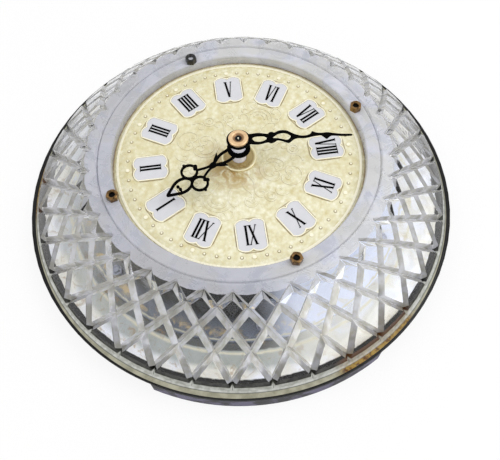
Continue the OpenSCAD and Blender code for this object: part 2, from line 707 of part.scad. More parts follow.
module hour_shape() {
  both_sides() {
    band(arm, 1.4);
    polygon(ccw(spur));
    band(branch, 1.1);
    difference() {
      union() {
        translate([eye_u, eye_v]) circle(r = 4.8, $fn = 48);
        translate([eye_u, eye_v + 4.9]) circle(r = 0.8, $fn = 20);
        translate([eye_u - 4.5, eye_v + 0.7]) circle(r = 1.1, $fn = 20);
      }
      translate([eye_u, eye_v]) circle(r = 3.5, $fn = 48);
    }
    translate([eye_u - 3.5, eye_v - 0.3]) circle(r = 0.95, $fn = 20);
    band(leaf, 1.4);
  }
  polygon(ccw([[15.8, 0], [14.6, 1.5], [17.4, 1.7], [20, 1.2], [20, -1.2], [17.4, -1.7],
    [14.6, -1.5]]));
  band([[40.8, 3.3], [40.2, 2.2], [39.9, 0.4], [40.2, -1.4]], 0.9);
  for (p = [[40, 1.2], [40.1, -0.9]]) translate(p) circle(r = 0.85, $fn = 20);
}

module hour_hand() {
  color([0.05, 0.05, 0.05]) translate([0, 0, hour_z]) rotate(hour_rest)
    linear_extrude(hour_hand_t) difference() {
      union() {
        circle(r = hand_eye_r, $fn = 64);
        scale(hour_len / 48.1) hour_shape();
      }
      circle(r = hour_pipe_r + hand_gap, $fn = 48);
    }
}

// Outline and openings of the minute hand, drawn 60.5 long
minute_edge = [[4, 2.6], [7, 3.3], [10.6, 3.7], [13.6, 3.2], [15.8, 2.9], [16.9, 3.9],
  [18.3, 4], [19.4, 3.5], [21.4, 4.5], [23.8, 4.9], [26.4, 4.4], [28.4, 3],
  [30.8, 1.7], [33, 0.9], [35, 0.7], [37, 1], [38.6, 1.8], [39.6, 3.3], [40.9, 2.7],
  [42.4, 2.2], [45, 2], [47.8, 2.2], [50.4, 1.6], [55.2, 0.8], [60.3, 0.4],
  [60.3, -0.4], [55.1, -0.3], [50.4, 0.2], [48.8, -0.4], [47, -1.8], [45.5, -0.4],
  [44, 0.7], [41.3, 0.5], [38.5, -0.1], [35, -0.7], [32, -0.5], [29.8, -1.1],
  [28.2, -2.4], [26.8, -3.4], [25.4, -3], [23, -1.9], [20.8, -1.4], [19, -2.6],
  [17.2, -3.1], [15.8, -2.4], [13.6, -2.9], [10.6, -3.5], [7, -3.2], [4, -2.6]];
minute_hole1 = [[7.5, 0.2], [8.4, 1.4], [11.2, 1.8], [14, 1.5], [15.2, 0.2], [13.9, -1.4],
  [11.2, -2.1], [8.6, -1.6]];
minute_hole2 = [[18.4, 0.2], [20, 1.9], [22, 3], [24.4, 3.2], [26.6, 2.5], [28, 0.9],
  [27, -1], [25.4, -1.6], [23.4, -0.9], [20.8, -0.3]];

module minute_shape() {
  difference() {
    polygon(ccw(smooth_loop(minute_edge, 3)));
    polygon(ccw(smooth_loop(minute_hole1, 4)));
    polygon(ccw(smooth_loop(minute_hole2, 4)));
  }
}

module minute_hand() {
  color([0.05, 0.05, 0.05]) translate([0, 0, minute_z]) rotate(minute_rest)
    linear_extrude(minute_hand_t) difference() {
      union() {
        circle(r = hand_eye_r, $fn = 64);
        scale(minute_len / 60.5) minute_shape();
      }
      circle(r = minute_arbor_r + hand_gap, $fn = 48);
    }
}

module minute_collet() {
  color([0.9, 0.9, 0.97]) translate([0, 0, collet_z]) difference() {
    cylinder(h = collet_h, r = collet_r);
    translate([0, 0, -1]) cylinder(h = collet_h + 2, r = minute_arbor_r + hand_gap);
  }
}

module hand_nut() {
  b = minute_arbor_r + hand_gap;
  color([0.85, 0.65, 0.38]) translate([0, 0, hand_nut_z]) rotate_extrude()
    polygon([[b, 0], [hand_nut_r, 0], [hand_nut_r, hand_nut_h - 0.5],
      [hand_nut_r - 0.6, hand_nut_h], [hand_dish_r, hand_nut_h],
      [b + 0.2, hand_nut_h - 0.8], [b, hand_nut_h - 0.9]]);
}

// Drum, reflector, back plate and feet

module at_screws() {
  for (i = [0:screw_count - 1]) rotate(360 / screw_count * (i + 0.5) - 90)
    translate([screw_pcd_r, 0, 0]) children();
}

module screw_cut(z0, h) {
  at_screws() translate([0, 0, z0]) cylinder(h = h, r = screw_r + screw_gap, $fn = 32);
}

module dial_seat() {
  color([0.9, 0.86, 0.7]) difference() {
    translate([0, 0, ledge_z - drum_top_t]) cylinder(h = drum_top_t, r = ledge_r - 0.3);
    translate([0, 0, ledge_z - drum_top_t - 1])
      cylinder(h = drum_top_t + 2, r = drum_in_r);
    at_studs() translate([0, 0, ledge_z - drum_top_t - 1])
      cylinder(h = drum_top_t + 2, r = stud_r + stud_gap, $fn = 32);
  }
}

base_z = rim_z + reflector_t;

module support_drum() {
  z0 = base_z + drum_base_t;
  color([0.9, 0.86, 0.7]) translate([0, 0, z0]) difference() {
    cylinder(h = ledge_z - drum_top_t - z0, r = drum_out_r);
    translate([0, 0, -1]) cylinder(h = ledge_z - drum_top_t - z0 + 2, r = drum_in_r);
  }
}

module base_ring() {
  color([0.9, 0.86, 0.7]) difference() {
    translate([0, 0, base_z]) cylinder(h = drum_base_t, r = drum_base_r);
    translate([0, 0, base_z - 1]) cylinder(h = drum_base_t + 2, r = drum_in_r);
    screw_cut(base_z - 1, drum_base_t + 2);
  }
}

module base_nuts() {
  color([0.6, 0.6, 0.62]) at_screws() translate([0, 0, base_z + drum_base_t])
    difference() {
      cylinder(h = base_nut_h, r = base_nut_w / sqrt(3), $fn = 6);
      translate([0, 0, -1]) cylinder(h = base_nut_h + 2, r = screw_r + 0.05, $fn = 32);
    }
}

module reflector() {
  color([0.85, 0.86, 0.88]) difference() {
    translate([0, 0, rim_z]) cylinder(h = reflector_t, r = reflector_r);
    translate([0, 0, rim_z - 1]) cylinder(h = reflector_t + 2, r = drum_in_r);
    screw_cut(rim_z - 1, reflector_t + 2);
  }
}

hanger_y = key_y + hanger_over - hanger_len / 2;

module at_rivets() {
  for (x = [-1, 1]) translate([x * (hanger_w + lug_w) / 2, hanger_y, 0]) children();
}

module back_plate() {
  color([0.06, 0.06, 0.07]) difference() {
    translate([0, 0, foot_h]) cylinder(h = plate_t, r = rim_r);
    translate([0, 0, foot_h - 1]) cylinder(h = plate_t + 2, r = plate_open_r);
    screw_cut(foot_h - 1, plate_t + 2);
    at_rivets() translate([0, 0, foot_h - 1])
      cylinder(h = plate_t + 2, r = rivet_r + screw_gap, $fn = 32);
  }
}

module foot_arcs() {
  color([0.16, 0.15, 0.2]) for (i = [0:2])
    rotate(foot_turn - foot_span / 2 + 120 * i)
      rotate_extrude(angle = foot_span)
        translate([rim_r - foot_w, 0]) square([foot_w, foot_h]);
}

module drum_screws() {
  color([0.6, 0.6, 0.62]) at_screws() {
    translate([0, 0, foot_h - screw_head_h]) difference() {
      cylinder(h = screw_head_h, r = screw_head_r, $fn = 32);
      for (a = [0, 90]) rotate(a) translate([-1.7, -0.3, -1])
        cube([3.4, 0.6, 1.8]);
    }
    translate([0, 0, foot_h - eps]) cylinder(h = screw_len, r = screw_r, $fn = 32);
  }
}

module hanger_plate() {
  z0 = foot_h - hanger_rise - hanger_t;
  y0 = hanger_y - hanger_len / 2;
  color([0.7, 0.7, 0.72]) difference() {
    union() {
      translate([-hanger_w / 2, y0, z0]) cube([hanger_w, hanger_len, hanger_t]);
      for (x = [-hanger_w / 2, hanger_w / 2 - hanger_t])
        translate([x, y0, z0]) cube([hanger_t, hanger_len, hanger_rise + hanger_t]);
      for (x = [-hanger_w / 2 - lug_w, hanger_w / 2 - eps])
        translate([x, y0 + 5, foot_h - hanger_t])
          cube([lug_w + eps, hanger_len - 10, hanger_t]);
    }
    translate([0, key_y, z0 - 1]) cylinder(h = hanger_t + 2, r = key_r);
    translate([0, key_y + key_slot_len - key_slot_w / 2, z0 - 1])
      cylinder(h = hanger_t + 2, r = key_slot_w / 2, $fn = 32);
    translate([-key_slot_w / 2, key_y, z0 - 1])
      cube([key_slot_w, key_slot_len - key_slot_w / 2, hanger_t + 2]);
    at_rivets() translate([0, 0, foot_h - hanger_t - 1])
      cylinder(h = hanger_t + 2, r = rivet_r + screw_gap, $fn = 32);
  }
}

module hanger_rivets() {
  z0 = foot_h - hanger_t;
  color([0.65, 0.65, 0.67]) at_rivets() {
    translate([0, 0, z0 - rivet_head_h]) cylinder(h = rivet_head_h, r = rivet_head_r,
      $fn = 32);
    translate([0, 0, z0 - eps]) cylinder(h = hanger_t + plate_t + eps, r = rivet_r,
      $fn = 32);
  }
}

// Movement case and what does not turn

in_half = (battery_can + nub_len) / 2 + contact_room;
case_half = in_half + case_wall;
bat_y = -in_half + battery_gap + battery_r;
bat_z = case_in - battery_gap - battery_r;
bay_y = bat_y + battery_r + battery_gap;
wheel_y = bay_y + case_wall;
bat_x0 = -(battery_can + nub_len) / 2;
// Edges of the middle plate, and the posts that carry it
mid_left = rotor_at[0] - middle_edge;
mid_right = third_at[0] + middle_edge + 0.5;
mid_low = -middle_edge - 3;
mid_top = third_at[1] + middle_edge - 1;
mid_peak = rotor_at[1] + middle_edge - 1.2;
posts = [[mid_left + 2.5, mid_low + 3], [mid_right - 2.5, mid_low + 2],
  [mid_left + 2.5, mid_peak - 2.3]];
post_r = 1.6;

module box(x0, x1, y0, y1, z0, z1) {
  translate([x0, y0, z0]) cube([x1 - x0, y1 - y0, z1 - z0]);
}

module boss(p, z0, h, r = 1.5) {
  translate([p[0], p[1], z0]) cylinder(h = h, r = r, $fn = 32);
}

module pivot_cut(p, z0, h) {
  translate([p[0], p[1], z0]) cylinder(h = h, r = pivot_r + pivot_gap, $fn = 24);
}

module case_front() {
  h = case_half;
  color([0.13, 0.13, 0.14]) difference() {
    union() {
      difference() {
        box(-h, h, -h, h, cover_z, case_top);
        box(-in_half, in_half, -in_half, bay_y, cover_z - 1, case_in);
        box(-in_half, in_half, wheel_y, in_half, cover_z - 1, case_in);
      }
      difference() {
        box(-h, h, -h, wheel_y, case_rear, cover_z + eps);
        box(-in_half, in_half, -in_half, bay_y, case_rear - 1, cover_z + 1);
      }
      for (p = posts) boss(p, middle_z + middle_t, case_in - middle_z - middle_t + eps,
        post_r);
      boss(third_at, case_in - boss_h, boss_h + eps);
      boss(knob_at, case_in - boss_h, boss_h + eps);
      boss(motion_at, minute_lvl - 0.2, case_in - minute_lvl + 0.2 + eps, pivot_r + 0.1);
    }
    translate([0, 0, case_in - 1]) cylinder(h = case_wall + 2, r = bush_r + bush_gap);
    pivot_cut(third_at, case_in - boss_h - 1, boss_h + 1);
    pivot_cut(knob_at, case_in - boss_h - 1, boss_h + 1);
  }
}

module case_back() {
  h = case_half;
  color([0.16, 0.16, 0.17]) difference() {
    union() {
      difference() {
        box(-h, h, wheel_y, h, case_rear, cover_z);
        box(-in_half, in_half, wheel_y + case_wall, in_half, cover_in, cover_z + 1);
      }
      for (p = [[0, 0], inter_at, rotor_at]) boss(p, cover_in - eps, boss_h + eps);
      for (a = [0:30:330]) translate([knob_at[0], knob_at[1], case_rear - 0.2])
        rotate(a) translate([knob_r + 1, -0.3, 0]) cube([1.2, 0.6, 0.2 + eps]);
    }
    for (p = [[0, 0], inter_at, rotor_at]) pivot_cut(p, pivot_z - 0.2, boss_h + 2);
    translate([knob_at[0], knob_at[1], case_rear - 1])
      cylinder(h = case_wall + 2, r = knob_shaft_r + pivot_gap, $fn = 32);
  }
}

module middle_plate() {
  color([0.92, 0.92, 0.9]) difference() {
    translate([0, 0, middle_z]) linear_extrude(middle_t)
      polygon([[mid_left, mid_low], [mid_right, mid_low], [mid_right, mid_top],
        [inter_at[0] + 4.3, mid_top], [inter_at[0] + 4.3, mid_peak], [mid_left, mid_peak]]);
    for (p = [[0, 0], inter_at, rotor_at, third_at])
      pivot_cut(p, middle_z - 1, middle_t + 2);
  }
}

module battery() {
  color([0.2, 0.3, 0.25]) translate([bat_x0, bat_y, bat_z]) rotate([0, 90, 0]) {
    cylinder(h = battery_can, r = battery_r);
    translate([0, 0, battery_can - eps]) cylinder(h = nub_len + eps, r = nub_r,
      $fn = 32);
  }
}

module contact_plus() {
  gap = in_half + bat_x0 - 0.7;
  color([0.8, 0.7, 0.45]) {
    box(in_half - 0.4, in_half, bat_y - 4, bat_y + 4, case_rear + 2, case_in - 2);
    translate([in_half - 0.4 + eps, bat_y, bat_z]) rotate([0, -90, 0])
      cylinder(h = gap, r = 2, $fn = 32);
  }
}

module contact_minus() {
  gap = in_half + bat_x0 - 0.7;
  color([0.75, 0.75, 0.76]) {
    box(-in_half, -in_half + 0.4, bat_y - 4, bat_y + 4, case_rear + 2, case_in - 2);
    translate([-in_half + 0.4 - eps, bat_y, bat_z]) rotate([0, 90, 0])
      cylinder(h = gap, r = 2, $fn = 32);
  }
}

board_z = cover_in + board_t;
board_x1 = in_half - board_gap;
board_x0 = board_x1 - board_w;
board_y0 = wheel_y + case_wall + board_gap;

module circuit_board() {
  color([0.1, 0.35, 0.18])
    box(board_x0, board_x1, board_y0, in_half - board_gap, cover_in, board_z);
}

module quartz_can() {
  color([0.8, 0.8, 0.82]) translate([board_x1 - 6, board_y0 + 6, board_z + 1.5])
    rotate([-90, 0, 0]) cylinder(h = 8, r = 1.5, $fn = 32);
}

module driver_chip() {
  color([0.05, 0.05, 0.05]) translate([board_x0 + 8, board_y0 + 21, board_z]) {
    cylinder(h = 0.6, r = 3, $fn = 48);
    translate([0, 0, 0.6 - eps]) cylinder(h = 0.5, r = 2.2, $fn = 48);
  }
}

module trim_capacitor() {
  color([0.75, 0.5, 0.2]) translate([board_x1 - 7, board_y0 + 25, board_z])
    cube([3.5, 2, 1.4]);
}

coil_y = 20.4;
coil_x0 = -5.9 - coil_len - 1.4;
flange_r = coil_r + 0.3;
coil_z = cover_in + flange_r;
core_z = stator_z + 1;

module coil_bobbin() {
  color([0.9, 0.88, 0.8]) difference() {
    union() {
      for (x = [coil_x0, coil_x0 + coil_len + 0.7])
        box(x, x + 0.7, coil_y - flange_r, coil_y + flange_r, coil_z - flange_r,
          coil_z + flange_r);
      box(coil_x0, coil_x0 + coil_len + 1.4, coil_y - 2.1, coil_y + 2.1,
        core_z - 0.6, core_z + 1.7);
    }
    box(coil_x0 - 1, coil_x0 + coil_len + 3, coil_y - 1.6, coil_y + 1.6, core_z - 0.1,
      core_z + 1.2);
  }
}

module coil_winding() {
  color([0.72, 0.38, 0.2]) difference() {
    translate([coil_x0 + 0.7, coil_y, coil_z]) rotate([0, 90, 0])
      cylinder(h = coil_len, r = coil_r);
    box(coil_x0 - 1, coil_x0 + coil_len + 3, coil_y - 2.1, coil_y + 2.1,
      core_z - 0.6, core_z + 1.7);
  }
}

module stator() {
  x0 = coil_x0 - 3.2;
  x1 = -5.9 + 3.2;
  color([0.62, 0.63, 0.66]) {
    difference() {
      union() {
        box(x0, x1, rotor_at[1] - 4.2, rotor_at[1] + 3.4, stator_z, core_z);
        box(x0, x0 + 2.8, rotor_at[1] + 3, coil_y + 1.5, stator_z, core_z);
        box(x1 - 2.8, x1, rotor_at[1] + 3, coil_y + 1.5, stator_z, core_z);
      }
      translate([rotor_at[0], rotor_at[1], stator_z - 1])
        cylinder(h = 3, r = magnet_r + magnet_gap, $fn = 48);
    }
    box(x0 + 0.2, x1 - 0.2, coil_y - 1.5, coil_y + 1.5, core_z, core_z + 1.1);
  }
}

// Wheels

function pol(r, a) = [r * cos(a), r * sin(a)];
function teeth(n, m, half, root, up, lean) = [for (i = [0:n - 1])
  let(c = 360 * i / n, rp = m * n / 2, h = half * m / rp * 180 / PI)
  each [pol(rp - root * m, c - h), pol(rp, c - h), pol(rp + up * m / 2, c - h * lean),
    pol(rp + up * m, c - h * 0.35), pol(rp + up * m, c + h * 0.35),
    pol(rp + up * m / 2, c + h * lean), pol(rp, c + h), pol(rp - root * m, c + h)]];
function wheel_teeth(n, m) = teeth(n, m, 0.7, 1.25, 0.95, 0.8);
function pinion_teeth(n, m) = teeth(n, m, 0.5, 1.4, 0.7, 0.75);

module wheel(n, m, z0, h) {
  translate([0, 0, z0]) linear_extrude(h) polygon(wheel_teeth(n, m));
}

module spoked(n, m, z0, h, hub) {
  rim = m * n / 2 - 2.6 * m;
  translate([0, 0, z0]) linear_extrude(h) difference() {
    polygon(wheel_teeth(n, m));
    difference() {
      circle(r = rim, $fn = 64);
      circle(r = hub, $fn = 32);
      for (a = [0, 60, 120]) rotate(a) square([2 * rim + 2, 1.1], center = true);
    }
  }
}

module pinion(n, m, z0, h) {
  translate([0, 0, z0]) linear_extrude(h) polygon(pinion_teeth(n, m));
}

module arbor(z0, z1, r = pivot_r) {
  translate([0, 0, z0]) cylinder(h = z1 - z0, r = r, $fn = 24);
}

module rotor() {
  color([0.3, 0.3, 0.32]) translate([rotor_at[0], rotor_at[1], 0])
    rotate(rotor_turn) {
      arbor(pivot_z, middle_z + middle_t - 0.1);
      translate([0, 0, magnet_z]) cylinder(h = 2, r = magnet_r, $fn = 48);
      arbor(magnet_z + 1.9, inter_lvl - 0.2, 1);
      pinion(rotor_pin_n, rotor_mod, inter_lvl - 0.3, 1.1);
    }
}

module intermediate_wheel() {
  color([0.95, 0.95, 0.9]) translate([inter_at[0], inter_at[1], 0])
    rotate(inter_turn) {
      arbor(pivot_z, middle_z + middle_t - 0.1);
      wheel(inter_n, rotor_mod, inter_lvl, wheel_t);
      pinion(inter_pin_n, seconds_mod, inter_lvl + wheel_t - eps, 1.4);
    }
}

module seconds_wheel() {
  color([0.9, 0.9, 0.85]) {
    arbor(pivot_z, tip_z);
    spoked(sec_n, seconds_mod, sec_lvl, wheel_t, 1.6);
    arbor(middle_z + middle_t + 0.2, third_lvl, 0.7);
    pinion(sec_pin_n, third_mod, third_lvl - 0.2, 1);
  }
}

module third_wheel() {
  color([0.92, 0.92, 0.88]) translate([third_at[0], third_at[1], 0])
    rotate(third_turn) {
      arbor(middle_z + 0.1, case_in - 0.3);
      spoked(third_n, third_mod, third_lvl, wheel_t, 2);
      pinion(third_pin_n, centre_mod, third_lvl + wheel_t - eps, 2.2);
    }
}

module centre_wheel() {
  color([0.85, 0.72, 0.42]) rotate(centre_turn) difference() {
    spoked(centre_n, centre_mod, centre_lvl, wheel_t, 3.2);
    translate([0, 0, centre_lvl - 1])
      cylinder(h = wheel_t + 2, r = minute_arbor_r + pivot_gap, $fn = 48);
  }
}

module minute_arbor() {
  z0 = centre_lvl - 0.6;
  color([0.82, 0.68, 0.38]) difference() {
    union() {
      arbor(z0, centre_lvl - 0.2, minute_arbor_r + 0.7);
      translate([0, 0, z0]) cylinder(h = arbor_top - z0, r = minute_arbor_r, $fn = 48);
      pinion(cannon_n, motion_mod, cannon_lvl, 0.9);
    }
    translate([0, 0, z0 - 1]) cylinder(h = arbor_top - z0 + 2, r = minute_bore_r,
      $fn = 32);
  }
}

module minute_wheel() {
  color([0.95, 0.93, 0.85]) translate([motion_at[0], motion_at[1], 0])
    rotate(motion_turn) difference() {
      union() {
        wheel(motion_n, motion_mod, minute_lvl, wheel_t);
        pinion(motion_pin_n, motion_mod, minute_lvl + wheel_t - eps, 1.5);
      }
      translate([0, 0, minute_lvl - 1])
        cylinder(h = 4, r = pivot_r + 0.1 + pivot_gap, $fn = 32);
    }
}

module hour_wheel() {
  color([0.95, 0.93, 0.85]) rotate(hour_turn) difference() {
    union() {
      wheel(hour_n, motion_mod, hour_lvl, wheel_t + 0.1);
      translate([0, 0, hour_lvl]) cylinder(h = hour_z + hour_hand_t + 0.1 - hour_lvl,
        r = hour_pipe_r, $fn = 64);
    }
    translate([0, 0, hour_lvl - 1]) cylinder(h = hour_z + hour_hand_t + 3 - hour_lvl,
      r = hour_bore_r, $fn = 48);
  }
}

module setting_knob() {
  top = case_rear - 0.3;
  color([0.2, 0.2, 0.22]) translate([knob_at[0], knob_at[1], 0]) rotate(knob_turn) {
    difference() {
      translate([0, 0, top - knob_h]) cylinder(h = knob_h, r = knob_r);
      for (a = [0:20:340]) rotate(a) translate([knob_r, 0, top - knob_h - 1])
        cylinder(h = knob_h + 2, r = 0.35, $fn = 12);
    }
    arbor(top - eps, cannon_lvl, knob_shaft_r);
    pinion(cannon_n, motion_mod, cannon_lvl - eps, 1);
    arbor(cannon_lvl, case_in - 0.3);
  }
}

crystal_body();
top_ring();
ring_nuts();
dark_nut();
ring_studs();
dial_plate();
numeral_plaques();
numerals();
fixing_nut();
rubber_washer();
threaded_bush();
hour_hand();
minute_hand();
minute_collet();
hand_nut();
dial_seat();
support_drum();
base_ring();
base_nuts();
reflector();
back_plate();
foot_arcs();
drum_screws();
hanger_plate();
hanger_rivets();
case_front();
case_back();
middle_plate();
battery();
contact_plus();
contact_minus();
circuit_board();
quartz_can();
driver_chip();
trim_capacitor();
coil_bobbin();
coil_winding();
stator();
rotor();
intermediate_wheel();
seconds_wheel();
third_wheel();
centre_wheel();
minute_arbor();
minute_wheel();
hour_wheel();
setting_knob();
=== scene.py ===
"""A wall clock with a cut clear skirt, dressed and set on a pale floor.

Sizes are in metres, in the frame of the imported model: the wall is at z = 0 and the dial faces up.
"""

import json
from math import asin, cos, hypot, pi, radians, sin

import bpy
from mathutils import Matrix, Vector

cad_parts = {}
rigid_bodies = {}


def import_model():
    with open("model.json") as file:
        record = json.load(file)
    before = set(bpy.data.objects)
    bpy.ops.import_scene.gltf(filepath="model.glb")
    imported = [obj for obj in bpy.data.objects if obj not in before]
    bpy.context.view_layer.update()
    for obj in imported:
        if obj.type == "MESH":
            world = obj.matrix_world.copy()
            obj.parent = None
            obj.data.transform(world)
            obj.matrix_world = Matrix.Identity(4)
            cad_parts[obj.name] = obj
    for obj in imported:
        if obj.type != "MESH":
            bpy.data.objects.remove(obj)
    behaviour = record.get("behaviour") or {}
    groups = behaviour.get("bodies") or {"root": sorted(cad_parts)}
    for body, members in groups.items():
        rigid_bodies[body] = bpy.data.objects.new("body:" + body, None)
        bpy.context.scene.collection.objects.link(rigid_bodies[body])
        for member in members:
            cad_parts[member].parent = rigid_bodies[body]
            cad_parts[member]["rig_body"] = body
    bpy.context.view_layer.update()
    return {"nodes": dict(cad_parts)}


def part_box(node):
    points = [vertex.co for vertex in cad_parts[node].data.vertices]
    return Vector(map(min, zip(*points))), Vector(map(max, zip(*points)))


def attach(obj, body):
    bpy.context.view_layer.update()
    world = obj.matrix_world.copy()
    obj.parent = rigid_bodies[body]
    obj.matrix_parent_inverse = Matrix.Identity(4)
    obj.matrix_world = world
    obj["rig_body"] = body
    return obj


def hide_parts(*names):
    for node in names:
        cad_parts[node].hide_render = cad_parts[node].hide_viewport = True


bl_info = {
    "name": "Cut crystal wall clock",
    "version": (1, 0, 0),
    "blender": (4, 5, 0),
    "location": "View3D > Sidebar > Clock",
    "description": "Dresses the clock's frame with its clear skirt, dial relief and finishes",
    "category": "Object",
}

MM = 0.001
TURN = 2 * pi
CLEAR_IOR = 1.49
MERGE = 0.002 * MM
WINDING_PITCH = 0.18 * MM
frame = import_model()

DIAL_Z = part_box("numeral_plaques")[0].z
TOP_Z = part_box("crystal_body")[1].z
COLLAR_R = 84 * MM
CREST_END_R = 119 * MM
CREST_END_Z = 23 * MM
SKIRT_FOOT_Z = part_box("crystal_body")[0].z
FLANGE_TOP_Z = SKIRT_FOOT_Z + 3 * MM
RIM_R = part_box("crystal_body")[1].x
LIP_R = RIM_R - 3 * MM
BRIM_R = 92.8 * MM
SHEET_LINE_R = 99.4 * MM
PLAQUE_R = 49.2 * MM
PLAQUE_HALF_W = 7.3 * MM
PLAQUE_HALF_L = 9 * MM
PLAQUE_END_R = 4.7 * MM
BEAD_R = 61.8 * MM
SUNK = 0.02 * MM  # how deep a scroll's foot lies in the dial
SPIN_STEP = 15  # degrees of an arc from one section of a scroll to the next
CAMERA_SIDE = radians(113.272)


def tint(red, green, blue):
    """A colour given in the usual 0 to 255 numbers, as Blender's linear values."""
    return tuple(
        c / 12.92 if c <= 0.04045 else ((c + 0.055) / 1.055) ** 2.4
        for c in (red / 255, green / 255, blue / 255)
    )


# Finishes


class Wire:
    """One output of a finish's node. A sum written with it adds the Math nodes."""

    def __init__(self, finish, socket):
        self.finish, self.socket = finish, socket

    def math(self, operation, *values):
        return self.finish.node("Math", {"operation": operation}, dict(enumerate(values)))

    def __add__(self, other):
        return self.math("ADD", self, other)

    __radd__ = __add__

    def __sub__(self, other):
        return self.math("SUBTRACT", self, other)

    def __rsub__(self, other):
        return self.math("SUBTRACT", other, self)

    def __mul__(self, other):
        return self.math("MULTIPLY", self, other)

    __rmul__ = __mul__

    def __pow__(self, other):
        return self.math("POWER", self, other)

    def __abs__(self):
        return self.math("ABSOLUTE", self)

    def least(self, other):
        return self.math("MINIMUM", self, other)

    def most(self, other):
        return self.math("MAXIMUM", self, other)

    def other(self, name):
        """Another output of the same node."""
        return Wire(self.finish, self.socket.node.outputs[name])

    def wave(self):
        return self.math("SINE", self)

    def ripple(self):
        """0 to 1 and back, once in every turn of the sine."""
        return self.wave() * 0.5 + 0.5

    def rise(self, start, end):
        """0 below start, 1 above end, smooth between; falls where end is the smaller."""
        if end < start:
            return 1 - self.rise(end, start)
        return self.finish.node(
            "MapRange",
            {"interpolation_type": "SMOOTHSTEP"},
            {"Value": self, "From Min": start, "From Max": end},
        )

    def hump(self, centre, half):
        """1 at centre, 0 from half away."""
        return abs(self - centre).rise(half, 0.0)


class Finish:
    """A material in the making."""

    def __init__(self, name, **sockets):
        self.start(bpy.data.materials.new(name))
        self.shader = self.node("BsdfPrincipled")
        self.out = self.node("OutputMaterial", {}, {"Surface": self.shader})
        self.set(**sockets)

    def start(self, holder):
        self.material, self.place = holder, None
        holder.use_nodes = True
        self.tree = holder.node_tree
        self.tree.nodes.clear()

    @classmethod
    def of_world(cls, world):
        """The same tools for a world's nodes, which have no surface shader."""
        made = cls.__new__(cls)
        made.start(world)
        return made

    def node(self, kind, settings=None, values=None, out=0):
        made = self.tree.nodes.new("ShaderNode" + kind)
        for name, value in (settings or {}).items():
            if name == "stops":
                ramp = made.color_ramp
                for at, colour in value[2:]:
                    ramp.elements.new(at)
                for element, (at, colour) in zip(ramp.elements, value):
                    element.position = at
                    element.color = (*colour, 1)
            else:
                setattr(made, name, value)
        for key, value in (values or {}).items():
            self.feed(made.inputs[key], value)
        return Wire(self, made.outputs[out]) if len(made.outputs) else made

    def feed(self, socket, value):
        if isinstance(value, Wire):
            self.tree.links.new(value.socket, socket)
        elif socket.type == "RGBA" and len(value) == 3:
            socket.default_value = (*value, 1)
        else:
            socket.default_value = value

    def set(self, **sockets):
        """Sets or links sockets of the surface shader; an underscore stands for a space."""
        principled = self.shader.socket.node
        for name, value in sockets.items():
            self.feed(principled.inputs[name.replace("_", " ")], value)

    def done(self, colour, roughness, normal, **sockets):
        """Links what changes over the surface and returns the material."""
        self.set(Base_Color=colour, Roughness=roughness, Normal=normal, **sockets)
        return self.material

    def where(self):
        """The piece's own coordinates."""
        if self.place is None:
            self.place = self.node("TexCoord", out=3)
        return self.place

    def axes(self):
        split = self.node("SeparateXYZ", {}, {0: self.where()})
        return split, split.other("Y"), split.other("Z")

    def round_clock(self):
        """Distance from the clock's axis and angle about it, from -pi to pi."""
        x, y, _ = self.axes()
        return (x * x + y * y) ** 0.5, y.math("ARCTAN2", y, x)

    def moved(self, stretch=(1, 1, 1), shift=(0, 0, 0)):
        return self.node(
            "Mapping", {}, {"Vector": self.where(), "Location": shift, "Scale": stretch}
        )

    def cloud(self, size, detail=3, rough=0.55, at=None, warp=0.0):
        """Noise from 0 to 1 with lumps of about the given size in millimetres."""
        return self.node(
            "TexNoise",
            {},
            {
                "Vector": at or self.where(),
                "Scale": 1 / (size * MM),
                "Detail": detail,
                "Roughness": rough,
                "Distortion": warp,
            },
        )

    def cells(self, size, feature="F1", random_place=1.0, at=None):
        return self.node(
            "TexVoronoi",
            {"feature": feature},
            {"Vector": at or self.where(), "Scale": 1 / (size * MM), "Randomness": random_place},
        )

    def blend(self, share, one, other):
        """The first colour where share is 0, the other where it is 1."""
        return self.node("Mix", {"data_type": "RGBA"}, {0: share, 6: one, 7: other}, out=2)

    def ramp(self, share, *stops):
        return self.node("ValToRGB", {"stops": stops}, {0: share})

    def relief(self, height, depth):
        """A bump of the given depth in millimetres for a height of 1."""
        return self.node("Bump", {}, {"Height": height, "Strength": 1.0, "Distance": depth * MM})

    def round_share(self, angle, *stops):
        """Blends from stop to stop round the clock; a stop is (degrees, value)."""
        share = stops[0][1]
        for (before, _), (after, value) in zip(stops, stops[1:]):
            step = angle.rise(radians(before), radians(after))
            share = step * value + (1 - step) * share
        return share


def grey(share, low, high):
    """A roughness or the like between low and high."""
    return share * (high - low) + low


def clear_cut_finish(hues):
    """Polished clear plastic of the diamonds and the inner wall, with painted shade at the foot of
    the last diamonds.
    """
    f = Finish("clear_cut", IOR=CLEAR_IOR, Specular_IOR_Level=0.1, Transmission_Weight=1.0)
    haze = f.cloud(9, 4)
    radius, _ = f.round_clock()
    stain = stain_mask(f) * 0.6
    clean = f.blend(haze, hues.clear_deep, hues.clear_pale)
    # painted shade: patches of near black at the foot of the last diamonds
    crest_foot_shade = radius.rise(CREST_END_R - 2 * MM, CREST_END_R - 1.6 * MM)
    clean = f.blend(crest_foot_shade * f.cloud(3).rise(0.25, 0.5), clean, hues.wall_shade_dark)
    return f.done(
        f.blend(stain, clean, stain_tone(f, hues)),
        grey(haze, 0.01, 0.06) + stain * 0.3,
        f.relief(f.cloud(14, 2, warp=0.6), 0.22),
    )


def bright_side(angle):
    """1 on the side of the clock that the lamp lights through the skirt, 0 on the other."""
    end = angle.rise(radians(-120), radians(-155))
    return angle.rise(radians(116), radians(138)).most(end)


def painted_pale_side(angle):
    """1 on the side where the sheets under the skirt are painted pale as light, 0 where they are
    painted dark as shade.
    """
    return angle.rise(radians(105), radians(5))


